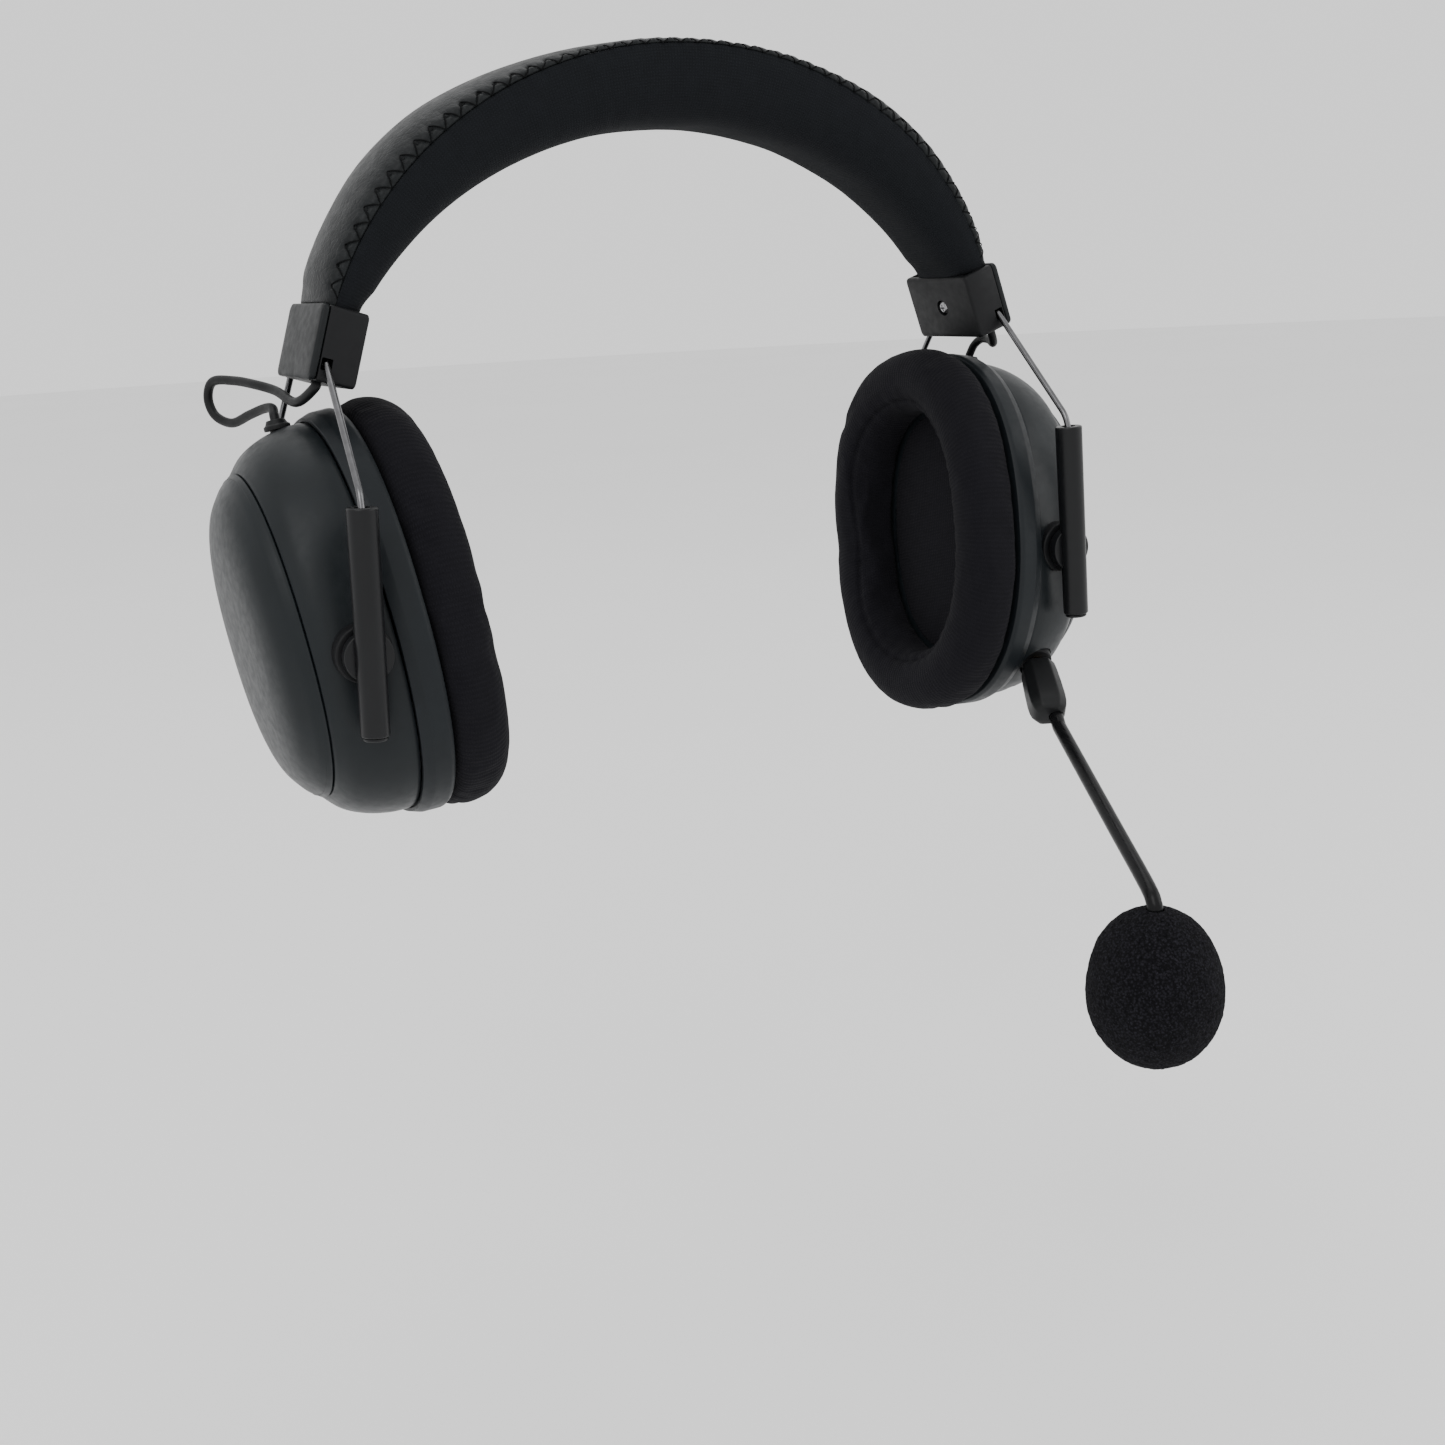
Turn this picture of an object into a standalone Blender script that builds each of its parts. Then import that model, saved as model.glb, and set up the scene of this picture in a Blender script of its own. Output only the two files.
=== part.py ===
"""Over-ear headset with a plug-in boom microphone.

Frame: origin under the crown of the headband, where it rests on the head; +Z up, +X to the wearer's left,
-Y to the front. Each ear side is modelled once, with +X pointing away from the head, and mirrored for the right.
"""

from math import cos, pi, radians, sin

import bmesh
import bpy
from mathutils import Matrix, Vector

MM = 0.001
GAP = 0.3 * MM
RIGHT, LEFT = -1, 1
SIDES = {"right": RIGHT, "left": LEFT}

# Headband: half an ellipse in the X-Z plane, which is the seam between cover and pad.
ARCH_HALF_SPAN = 98.8 * MM
ARCH_RISE = 85.5 * MM
ARCH_BASE_Z = -66.3 * MM
CAP_START = radians(18.5)
CAP_LEAN = radians(18.4)
BAND_HALF_WIDTH = 16.5 * MM
BAND_END_HALF_WIDTH = 13.2 * MM
PAD_DEPTH = 18.9 * MM
PAD_TAPER = 0.7
COVER_RISE = 4.2 * MM
COVER_WALL = 1.3 * MM
SPRING_WIDTH = 20 * MM
SPRING_THICKNESS = 0.8 * MM
BAND_STATIONS = 21

# End caps that grip the band's ends and hold the wires.
CAP_SIZE = Vector((11.6, 30.0, 18.0)) * MM
CAP_WALL = 1.6 * MM
CAP_OFFSET = 2.5 * MM
CAP_SPLIT = 2.2 * MM
WIRE_HEIGHT = 4.2 * MM

# Yoke: two spring wires, each running down into a slider tube in front of and behind the cup.
PIVOT_X = 102.5 * MM
PIVOT_Z = -117.8 * MM
TUBE_Y = 41.6 * MM
TUBE_RADIUS = 3.7 * MM
TUBE_END_RADIUS = 3.45 * MM
TUBE_ABOVE = 34.6 * MM
TUBE_BELOW = 18.6 * MM
TUBE_SPLAY = radians(2.7)
WIRE_RADIUS = 0.85 * MM
STOP_RADIUS = 1.8 * MM
DISC_RADIUS = 6.0 * MM
STUB_RADIUS = 2.6 * MM
HUB_RADIUS = 7.0 * MM

# Ear cup, in its own frame: x away from the head, measured from the pivot line.
CUP_TILT = radians(6.4)
CUP_RAKE = radians(-14.4)
CUP_CENTRE = Vector((-16.5, -0.5, 0.8)) * MM
OUTLINE_POWER = 2.25
OUTLINE_POINTS = 32
WALL = 2.0 * MM
RIM_DEPTH = 7.9 * MM
PART_DEPTH = 27.4 * MM
DOME_DEPTH = 36.8 * MM
DRIVER_RADIUS = 24.0 * MM
LAND = 34.0 * MM

# Controls on the left cup: an angle round the oval from the rear, and a depth.
MUTE_PLACE = (radians(27), 16.6 * MM)
POWER_PLACE = (radians(-24), 16.6 * MM)
DIAL_PLACE = (radians(-58), 18.0 * MM)
DIAL_RADIUS = 8.0 * MM
PORT_PLACE = (radians(-97), 16.0 * MM)
BUTTON_RADIUS = 3.0 * MM

# Link cables between the headband and the cups.
CABLE_RADIUS = 1.2 * MM
CABLE_BORE = CABLE_RADIUS + 0.45 * MM
CABLE_START = Vector((CAP_SPLIT, -8.5 * MM, -CAP_SIZE.z))
CABLE_ENTRY = (radians(94), 13.5 * MM)

# Boom microphone on the left cup, as points in the object's frame.
SOCKET_MOUTH = Vector((97.0, -31.3, -151.9)) * MM
PLUG_DIRECTION = Vector((-0.38, -0.77, -0.50)).normalized()
PLUG_LENGTH = 22.0 * MM
JACK_RADIUS = 1.75 * MM
BOOM_RADIUS = 1.45 * MM
BOOM_GAP = 2.0 * MM
BOOM_OFFSET = 1.8 * MM
FOAM_TOP = Vector((64.6, -118.6, -193.6)) * MM
FOAM_RADIUS = 17.2 * MM
FOAM_HALF_HEIGHT = 20.3 * MM


def clear_scene():
    for obj in list(bpy.data.objects):
        bpy.data.objects.remove(obj)


def make_material(name, colour, roughness, metallic=0.0):
    material = bpy.data.materials.new(name)
    material.use_nodes = True
    shader = material.node_tree.nodes["Principled BSDF"]
    shader.inputs["Base Color"].default_value = (*colour, 1.0)
    shader.inputs["Roughness"].default_value = roughness
    shader.inputs["Metallic"].default_value = metallic
    return material


class Workshop:
    """The collections, materials and empties that every piece is made in."""

    def __init__(self):
        scene = bpy.context.scene.collection
        self.parts = bpy.data.collections.new("headset_microphone")
        self.cutters = bpy.data.collections.new("cutters")
        scene.children.link(self.parts)
        scene.children.link(self.cutters)
        self.material = {
            "leatherette": make_material("leatherette", (0.020, 0.022, 0.024), 0.45),
            "fabric": make_material("fabric", (0.006, 0.006, 0.008), 0.95),
            "shell": make_material("shell", (0.030, 0.036, 0.040), 0.42),
            "dark_plastic": make_material("dark_plastic", (0.016, 0.016, 0.018), 0.5),
            "wire": make_material("wire", (0.18, 0.18, 0.18), 0.3, 1.0),
            "steel": make_material("steel", (0.5, 0.5, 0.5), 0.3, 1.0),
            "rubber": make_material("rubber", (0.012, 0.013, 0.014), 0.6),
            "foam": make_material("foam", (0.006, 0.006, 0.008), 1.0),
            "board": make_material("board", (0.02, 0.09, 0.04), 0.5),
            "brass": make_material("brass", (0.75, 0.6, 0.3), 0.3, 1.0),
            "film": make_material("film", (0.25, 0.25, 0.27), 0.3),
        }

    def add(self, name, data, material, parent=None):
        obj = bpy.data.objects.new(name, data)
        self.parts.objects.link(obj)
        if not data.materials:
            data.materials.append(self.material[material])
        obj.parent = parent
        return obj

    def add_cutter(self, name, mesh, parent=None):
        obj = bpy.data.objects.new(name, mesh)
        self.cutters.objects.link(obj)
        obj.hide_render = True
        obj.display_type = "WIRE"
        obj.parent = parent
        return obj

    def add_empty(self, name, location, rotation, parent=None):
        empty = bpy.data.objects.new(name, None)
        self.parts.objects.link(empty)
        empty.location = location
        empty.rotation_euler = rotation
        empty.parent = parent
        return empty


def mesh_from_bmesh(name, bm, smooth_angle=35):
    mesh = bpy.data.meshes.new(name)
    bmesh.ops.recalc_face_normals(bm, faces=bm.faces)
    bm.to_mesh(mesh)
    bm.free()
    mesh.shade_smooth()
    mesh.set_sharp_from_angle(angle=radians(smooth_angle))
    return mesh


def loft(name, rings, closed=False, side=LEFT):
    """A solid through rings of points. A closed loft joins the last ring to the first; an open one is capped."""
    bm = bmesh.new()
    rows = [[bm.verts.new((side * p[0], p[1], p[2])) for p in ring] for ring in rings]
    pairs = list(zip(rows, rows[1:] + rows[:1])) if closed else list(zip(rows, rows[1:]))
    for first, second in pairs:
        count = max(len(first), len(second))
        for i in range(count if count > 1 else 0):
            j = (i + 1) % count
            corners = (first[i % len(first)], first[j % len(first)], second[j % len(second)], second[i % len(second)])
            bm.faces.new(list(dict.fromkeys(corners)))
    if not closed:
        for row in (rows[0], rows[-1]):
            if len(row) > 2:
                bm.faces.new(row)
    return mesh_from_bmesh(name, bm)


def cylinder_mesh(name, radius, length, segments=20, radius_top=None, start=0.0):
    """A cylinder or cone along +Z, from start to start + length."""
    bm = bmesh.new()
    place = Matrix.Translation((0, 0, start + length / 2))
    top = radius if radius_top is None else radius_top
    bmesh.ops.create_cone(
        bm, cap_ends=True, segments=segments, radius1=radius, radius2=top, depth=length, matrix=place
    )
    return mesh_from_bmesh(name, bm)


def box_mesh(name, size, bevel=0.0, segments=2):
    bm = bmesh.new()
    bmesh.ops.create_cube(bm, size=1.0, matrix=Matrix.Diagonal((*size, 1.0)))
    if bevel:
        edges = list(bm.edges)
        bmesh.ops.bevel(bm, geom=edges, offset=bevel, segments=segments, affect="EDGES", profile=0.5)
    return mesh_from_bmesh(name, bm)


def turned(shop, name, profile, material, parent=None, segments=24):
    """A solid of revolution about the object's Z. The profile is (radius, height), top to bottom on its outer side."""
    mesh = bpy.data.meshes.new(name)
    points = [(radius, 0.0, height) for radius, height in profile]
    mesh.from_pydata(points, [(i, i + 1) for i in range(len(points) - 1)], [])
    obj = shop.add(name, mesh, material, parent)
    screw = obj.modifiers.new("turn", "SCREW")
    screw.axis = "Z"
    screw.steps = segments
    screw.render_steps = segments
    screw.use_merge_vertices = True
    screw.merge_threshold = 1e-5
    return obj


def tube(shop, name, points, radius, material, parent=None, resolution=2):
    """A round wire, cable or rod along the points."""
    curve = bpy.data.curves.new(name, "CURVE")
    curve.dimensions = "3D"
    curve.bevel_depth = radius
    curve.bevel_resolution = resolution
    curve.use_fill_caps = True
    spline = curve.splines.new("POLY")
    spline.points.add(len(points) - 1)
    for point, place in zip(spline.points, points):
        point.co = (*place, 1.0)
    return shop.add(name, curve, material, parent)


def as_mesh(shop, obj, material):
    """Replaces a curve with a welded mesh, so that it can be cut or joined."""
    mesh = bpy.data.meshes.new_from_object(obj.evaluated_get(bpy.context.evaluated_depsgraph_get()))
    bm = bmesh.new()
    bm.from_mesh(mesh)
    bmesh.ops.remove_doubles(bm, verts=bm.verts, dist=1e-6)
    bm.to_mesh(mesh)
    bm.free()
    name, parent = obj.name, obj.parent
    bpy.data.objects.remove(obj)
    return shop.add(name, mesh, material, parent)


def boolean(obj, other, operation="DIFFERENCE"):
    modifier = obj.modifiers.new(other.name, "BOOLEAN")
    modifier.operation = operation
    modifier.solver = "EXACT"
    modifier.object = other
    return modifier


def aim(direction, centre=(0, 0, 0)):
    """A matrix that carries +Z on to a direction, at a centre."""
    turn = Vector(direction).to_track_quat("Z", "Y").to_matrix().to_4x4()
    return Matrix.Translation(centre) @ turn


def smooth_path(points, per_span):
    """Points on a Catmull-Rom curve through the given ones."""
    ends = [2 * points[0] - points[1], *points, 2 * points[-1] - points[-2]]
    found = []
    for a, b, c, d in zip(ends, ends[1:], ends[2:], ends[3:]):
        for k in range(per_span):
            t = k / per_span
            found.append(
                0.5 * (2 * b + (c - a) * t + (2 * a - 5 * b + 4 * c - d) * t**2 + (3 * b - a - 3 * c + d) * t**3)
            )
    return [*found, points[-1]]


def mirrored(point, side):
    return Vector((side * point[0], point[1], point[2]))


# ---------------------------------------------------------------- headband


def arch_point(angle):
    return Vector((ARCH_HALF_SPAN * cos(angle), 0, ARCH_BASE_Z + ARCH_RISE * sin(angle)))


def arch_outward(angle):
    """The direction square to the arch, away from the head."""
    return Vector((ARCH_RISE * cos(angle), 0, ARCH_HALF_SPAN * sin(angle))).normalized()


def end_share(angle):
    """0 at the crown and 1 where the band meets its end caps."""
    height = sin(angle)
    return (1 - height) / (1 - sin(CAP_START))


def band_half_width(angle):
    share = end_share(angle) ** 2
    return BAND_HALF_WIDTH * (1 - share) + BAND_END_HALF_WIDTH * share


def pad_depth(angle):
    return PAD_DEPTH * sin(angle) ** PAD_TAPER


def band_angles(run_past):
    """Stations along the band, which runs this far into each end cap."""
    start = CAP_START - run_past / ARCH_RISE
    return [start + (pi - 2 * start) * i / (BAND_STATIONS - 1) for i in range(BAND_STATIONS)]


def band_ring(angle, outline):
    """Places an outline of (y, outward) points square to the arch."""
    middle, out = arch_point(angle), arch_outward(angle)
    return [middle + out * rise + Vector((0, y, 0)) for y, rise in outline]


def cover_outline(angle):
    half = band_half_width(angle)
    rise = COVER_RISE * (0.75 + 0.35 * end_share(angle))
    outer = [(half * cos(a), rise * sin(a)) for a in (pi * i / 6 for i in range(7))]
    inner = [((half - COVER_WALL) * cos(a), (rise - COVER_WALL) * sin(a)) for a in (pi * i / 6 for i in range(7))]
    return outer + inner[::-1]


def pad_outline(angle):
    half, depth = band_half_width(angle), pad_depth(angle)
    below = [
        (half * (abs(cos(a)) ** 0.62) * (1 if cos(a) > 0 else -1), -GAP - depth * sin(a) ** 0.75)
        for a in (pi * i / 8 for i in range(9))
    ]
    return below


def spring_outline(angle):
    half = SPRING_WIDTH / 2
    low, high = 0.2 * MM, 0.2 * MM + SPRING_THICKNESS
    return [(half, low), (half, high), (-half, high), (-half, low)]


def make_headband(shop):
    shop.add(
        "band_cover",
        loft("band_cover", [band_ring(a, cover_outline(a)) for a in band_angles(-0.5 * MM)]),
        "leatherette",
    )
    shop.add("band_pad", loft("band_pad", [band_ring(a, pad_outline(a)) for a in band_angles(-0.5 * MM)]), "fabric")
    shop.add(
        "band_spring", loft("band_spring", [band_ring(a, spring_outline(a)) for a in band_angles(6 * MM)]), "steel"
    )


# ---------------------------------------------------------------- end caps


def cap_matrix(side):
    """The cap's frame: its top face centre, with -Z down along the band's lean and X away from the head."""
    start = arch_point(CAP_START) - arch_outward(CAP_START) * CAP_OFFSET
    return Matrix.Translation(mirrored(start, side)) @ Matrix.Rotation(-side * CAP_LEAN, 4, "Y")


def make_cap(shop, name, side):
    """Two plastic half shells round the band's end, held by one screw from the inside."""
    frame = shop.add_empty(f"{name}_cap", (0, 0, 0), (0, 0, 0))
    frame.matrix_world = cap_matrix(side)
    centre_z = -CAP_SIZE.z / 2
    for half, low, high in (
        ("outer", CAP_SPLIT + GAP / 2, CAP_SIZE.x / 2),
        ("inner", -CAP_SIZE.x / 2, CAP_SPLIT - GAP / 2),
    ):
        width = high - low
        body = shop.add(
            f"{name}_cap_{half}",
            box_mesh(f"{name}_cap_{half}", (width, CAP_SIZE.y, CAP_SIZE.z), 1.1 * MM, 2),
            "dark_plastic",
            frame,
        )
        body.location = (side * (low + high) / 2, 0, centre_z)
    hollow = shop.add_cutter(
        f"{name}_cap_hollow",
        box_mesh(
            f"{name}_cap_hollow",
            (CAP_SIZE.x - 2 * CAP_WALL, CAP_SIZE.y - 2 * CAP_WALL, CAP_SIZE.z),
            0.6 * MM,
            1,
        ),
        frame,
    )
    hollow.location = (0, 0, centre_z + CAP_WALL)
    holes = [hollow]
    for end, along in (("front", -1), ("rear", 1)):
        slot = shop.add_cutter(
            f"{name}_cap_{end}_slot", box_mesh(f"{name}_cap_{end}_slot", (3.0 * MM, 6 * MM, 5.2 * MM)), frame
        )
        slot.location = (side * CAP_SPLIT, along * CAP_SIZE.y / 2, -CAP_SIZE.z + WIRE_HEIGHT)
        holes.append(slot)
    cable_hole = shop.add_cutter(
        f"{name}_cap_cable_hole", cylinder_mesh(f"{name}_cap_cable_hole", CABLE_BORE, 8 * MM, 14), frame
    )
    cable_hole.location = mirrored(CABLE_START, side) - Vector((0, 0, 4 * MM))
    holes.append(cable_hole)
    screw_hole = shop.add_cutter(
        f"{name}_cap_screw_hole", cylinder_mesh(f"{name}_cap_screw_hole", 2.3 * MM, 6 * MM, 14), frame
    )
    screw_hole.rotation_euler = (0, -side * pi / 2, 0)
    screw_hole.location = (-side * 3 * MM, 0, -CAP_SIZE.z / 2)
    for half in ("outer", "inner"):
        for hole in holes:
            boolean(bpy.data.objects[f"{name}_cap_{half}"], hole)
    boolean(bpy.data.objects[f"{name}_cap_inner"], screw_hole)
    screw = turned(
        shop,
        f"{name}_cap_screw",
        [(0, 2.9 * MM), (1.2 * MM, 2.9 * MM), (1.9 * MM, 2.2 * MM), (1.9 * MM, 1.2 * MM), (1.0 * MM, 1.2 * MM)]
        + [(1.0 * MM, -6.2 * MM), (0, -6.2 * MM)],
        "steel",
        frame,
        14,
    )
    screw.rotation_euler = (0, -side * pi / 2, 0)
    screw.location = (-side * (CAP_SIZE.x / 2 - 2.9 * MM), 0, -CAP_SIZE.z / 2)


# ---------------------------------------------------------------- yoke wires and sliders


def yoke_point(x, y, z):
    """A point given in the left yoke's frame, with z along its tubes, in the object's frame."""
    turn = Matrix.Rotation(-TUBE_SPLAY, 3, "Y")
    return Vector((PIVOT_X, 0, PIVOT_Z)) + turn @ Vector((x, y, z))


def make_wire(shop, name, end, side):
    """A spring wire: hooked inside the cap, out through its end wall, down and round into the slider tube."""
    along = -1 if end == "front" else 1
    floor = -CAP_SIZE.z
    cap = cap_matrix(LEFT)
    hook = [(CAP_SPLIT, 11.6 * MM, floor + 13 * MM), (CAP_SPLIT, 11.8 * MM, floor + WIRE_HEIGHT + 2.0 * MM)]
    leave = (CAP_SPLIT, CAP_SIZE.y / 2 - 0.6 * MM, floor + WIRE_HEIGHT)
    inside = [cap @ Vector(place) for place in (*hook, leave)]
    top = yoke_point(0, TUBE_Y, TUBE_ABOVE + 1.8 * MM)
    bend = [top.lerp(inside[-1], 0.06), top + Vector((0, -0.25 * MM, 0.3 * MM))]
    straight = [yoke_point(0, TUBE_Y, TUBE_ABOVE + 0.4 * MM), yoke_point(0, TUBE_Y, -TUBE_BELOW + 8 * MM)]
    points = [Vector((side * p.x, along * p.y, p.z)) for p in (*inside, *bend, *straight)]
    wire = tube(shop, f"{name}_wire_{end}", points, WIRE_RADIUS, "wire")
    solid = as_mesh(shop, wire, "wire")
    stop = shop.add_cutter(
        f"{solid.name}_stop", cylinder_mesh(f"{solid.name}_stop", STOP_RADIUS, 3.2 * MM, 16, start=-3.2 * MM)
    )
    stop.matrix_world = aim(points[-1] - points[-2], points[-1] + (points[-1] - points[-2]).normalized() * 0.2 * MM)
    boolean(solid, stop, "UNION")


def make_slider(shop, name, end, side, yoke):
    """A tube that rides on its wire, with the round disc and the stub that the cup turns on."""
    along = -1 if end == "front" else 1
    label = f"{name}_slider_{end}"
    chamfer = 0.6 * MM
    body = turned(
        shop,
        label,
        [
            (0, TUBE_ABOVE),
            (TUBE_RADIUS - chamfer, TUBE_ABOVE),
            (TUBE_RADIUS, TUBE_ABOVE - chamfer),
            (TUBE_END_RADIUS, -TUBE_BELOW + chamfer),
            (TUBE_END_RADIUS - chamfer, -TUBE_BELOW),
            (0, -TUBE_BELOW),
        ],
        "dark_plastic",
        yoke,
        18,
    )
    inward = (pi / 2 * along, 0, 0)
    place = (0, along * TUBE_Y, 0)
    body.location = place
    for what, radius, start, length in (("disc", DISC_RADIUS, 0.6, 2.8), ("stub", STUB_RADIUS, 3.0, 9.6)):
        mesh = cylinder_mesh(f"{label}_{what}", radius, length * MM, 18, start=start * MM)
        cutter = shop.add_cutter(mesh.name, mesh, yoke)
        cutter.rotation_euler = inward
        cutter.location = place
        boolean(body, cutter, "UNION")
    neck = WIRE_RADIUS + GAP
    bore = shop.add_cutter(
        f"{label}_bore",
        cylinder_mesh(f"{label}_bore", STOP_RADIUS + GAP, TUBE_ABOVE + TUBE_BELOW - 3 * MM, 12, start=-TUBE_BELOW - MM),
        yoke,
    )
    mouth = shop.add_cutter(
        f"{label}_mouth", cylinder_mesh(f"{label}_mouth", neck, 10 * MM, 12, start=TUBE_ABOVE - 8 * MM), yoke
    )
    for cutter in (bore, mouth):
        cutter.location = place
        boolean(body, cutter)
    plug = turned(
        shop,
        f"{name}_tube_plug_{end}",
        [
            (0, 3.2 * MM),
            (STOP_RADIUS, 3.2 * MM),
            (STOP_RADIUS, -GAP),
            (TUBE_END_RADIUS - 0.4 * MM, -GAP),
            (TUBE_END_RADIUS - 0.7 * MM, -GAP - 0.8 * MM),
            (0, -GAP - 0.8 * MM),
        ],
        "dark_plastic",
        yoke,
        16,
    )
    plug.location = (0, along * TUBE_Y, -TUBE_BELOW)


# ---------------------------------------------------------------- ear cups


def outline(half_length, half_height, depth, power=OUTLINE_POWER, count=OUTLINE_POINTS, land=1.0):
    """A rounded oval in the cup's frame, at a depth outward from the cushion's back, with flat ends at the land."""
    ring = []
    for i in range(count):
        angle = 2 * pi * (i + 0.5) / count
        y, z = cos(angle), sin(angle)
        length = (abs(y) ** power + abs(z) ** power) ** (-1 / power)
        across = max(-land, min(land, half_length * y * length))
        ring.append(CUP_CENTRE + Vector((depth, across, half_height * z * length)))
    return ring


def inset(section, wall, lift=0.0):
    half_length, half_height, depth = section
    return (half_length - wall, half_height - wall, depth + lift)


def rings_of(sections, power=OUTLINE_POWER, land=1.0):
    return [outline(*section, power=power, land=land) for section in sections]


def mm(*rows):
    return [tuple(value * MM for value in row) for row in rows]


HOUSING = mm((35.8, 49.9, 8.2), (35.7, 49.6, 13.0), (34.8, 48.2, 18.5), (33.3, 45.6, 23.5), (31.0, 41.6, 27.2))
DOME = mm((30.7, 41.2, 27.5), (28.6, 38.2, 31.0), (24.6, 33.2, 34.0), (18.0, 25.0, 36.0), (9.0, 13.0, 36.7))
RIM = mm((37.4, 51.4, 0.0), (38.3, 52.4, 1.2), (38.1, 52.2, 5.0), (37.0, 51.2, 7.9), (34.6, 48.8, 7.9))
CUSHION = mm(
    (37.2, 51.2, -0.3), (38.9, 52.9, -3.0), (39.4, 53.4, -7.5), (38.4, 52.4, -12.5), (35.2, 49.2, -16.2),
    (30.5, 44.0, -17.4), (25.6, 38.8, -16.2), (22.4, 35.2, -12.5), (21.2, 34.0, -7.5), (21.8, 34.6, -3.0),
    (22.8, 35.6, -0.3),
)


def make_hub_cutters(shop, label, ear):
    """Hubs in the cup's front and rear walls for the sliders' stubs, and the bores through them."""
    hubs, bores = [], []
    for end, along in (("front", -1), ("rear", 1)):
        hub = shop.add_cutter(f"{label}_hub_{end}", cylinder_mesh(f"{label}_hub_{end}", HUB_RADIUS, 8 * MM, 20), ear)
        hub.rotation_euler = (pi / 2 * along, 0, 0)
        hub.location = (0, along * (TUBE_Y - 4.4 * MM), 0)
        hubs.append(hub)
        bore = shop.add_cutter(
            f"{label}_bore_{end}", cylinder_mesh(f"{label}_bore_{end}", STUB_RADIUS + GAP, 20 * MM, 14), ear
        )
        bore.rotation_euler = (pi / 2 * along, 0, 0)
        bore.location = (0, along * (TUBE_Y + 2 * MM), 0)
        bores.append(bore)
    return hubs, bores


def make_cup(shop, name, side, ear, cup):
    inner = [inset(section, WALL) for section in reversed(HOUSING)]
    housing_rings = rings_of(HOUSING, land=LAND) + rings_of(inner, land=LAND - WALL)
    housing = shop.add(f"{name}_housing", loft(f"{name}_housing", housing_rings, True, side), "shell", cup)
    hubs, bores = make_hub_cutters(shop, housing.name, ear)
    for hub in hubs:
        boolean(housing, hub, "UNION")
    for bore in bores:
        boolean(housing, bore)

    apex = CUP_CENTRE + Vector((DOME_DEPTH, 0, 0))
    inner = [inset(s, WALL, -0.6 * WALL if s[2] > 30 * MM else 0.0) for s in reversed(DOME)]
    dome_rings = rings_of(DOME) + [[apex], [apex - Vector((WALL, 0, 0))]] + rings_of(inner)
    shop.add(f"{name}_dome", loft(f"{name}_dome", dome_rings, True, side), "shell", cup)

    plate = mm((34.6, 48.8, 2.2))
    hole = [outline(DRIVER_RADIUS + 2 * GAP, DRIVER_RADIUS + 2 * GAP, depth, power=2) for depth in (2.2 * MM, 0.0)]
    rim_rings = rings_of(RIM) + rings_of(plate) + hole
    shop.add(f"{name}_rim", loft(f"{name}_rim", rim_rings, True, side), "shell", cup)

    shop.add(f"{name}_cushion", loft(f"{name}_cushion", rings_of(CUSHION), True, side), "fabric", cup)
    scrim = rings_of(mm((22.0, 34.6, -1.1), (22.0, 34.6, -0.4)))
    shop.add(f"{name}_scrim", loft(f"{name}_scrim", scrim, False, side), "fabric", cup)
    make_driver(shop, name, side, cup)
    return housing


def make_driver(shop, name, side, cup):
    """The loudspeaker: a basket in the baffle's hole, its magnet behind and its diaphragm in front."""
    outward = (0, side * pi / 2, 0)
    place = mirrored(CUP_CENTRE, side)
    basket = turned(
        shop,
        f"{name}_driver_basket",
        [(10.5 * MM, 7.0 * MM), (17.0 * MM, 6.6 * MM), (DRIVER_RADIUS, 3.4 * MM), (DRIVER_RADIUS, 0.2 * MM)]
        + [(22.4 * MM, 0.2 * MM), (22.4 * MM, 2.8 * MM), (16.4 * MM, 5.4 * MM), (10.5 * MM, 5.8 * MM)]
        + [(10.5 * MM, 7.0 * MM)],
        "dark_plastic",
        cup,
    )
    magnet = turned(
        shop,
        f"{name}_driver_magnet",
        [(0, 12.5 * MM), (9.4 * MM, 12.5 * MM), (10.2 * MM, 11.7 * MM), (10.2 * MM, 4.6 * MM), (0, 4.6 * MM)],
        "steel",
        cup,
        20,
    )
    diaphragm = turned(
        shop,
        f"{name}_driver_diaphragm",
        [(0, 1.0 * MM), (6 * MM, 1.4 * MM), (9.5 * MM, 2.4 * MM), (15 * MM, 1.4 * MM), (21.9 * MM, 2.3 * MM)]
        + [(21.9 * MM, 1.9 * MM), (15 * MM, 1.0 * MM), (9.5 * MM, 2.0 * MM), (6 * MM, 1.0 * MM), (0, 0.6 * MM)],
        "film",
        cup,
        20,
    )
    for piece in (basket, magnet, diaphragm):
        piece.rotation_euler = outward
        piece.location = place


# ---------------------------------------------------------------- wall fittings


def wall_place(place):
    """A point on the housing's outer wall and the wall's outward normal, in the left cup's frame."""
    angle, depth = place
    lower = max((s for s in HOUSING if s[2] <= depth), key=lambda s: s[2])
    upper = min((s for s in HOUSING if s[2] > depth), key=lambda s: s[2])
    share = (depth - lower[2]) / (upper[2] - lower[2])
    length = lower[0] + (upper[0] - lower[0]) * share
    height = lower[1] + (upper[1] - lower[1]) * share
    y, z = cos(angle), sin(angle)
    reach = (abs(y) ** OUTLINE_POWER + abs(z) ** OUTLINE_POWER) ** (-1 / OUTLINE_POWER)
    point = CUP_CENTRE + Vector((depth, length * y * reach, height * z * reach))
    normal = Vector((0, (point - CUP_CENTRE).y / length**2, (point - CUP_CENTRE).z / height**2)).normalized()
    return point, normal


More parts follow.
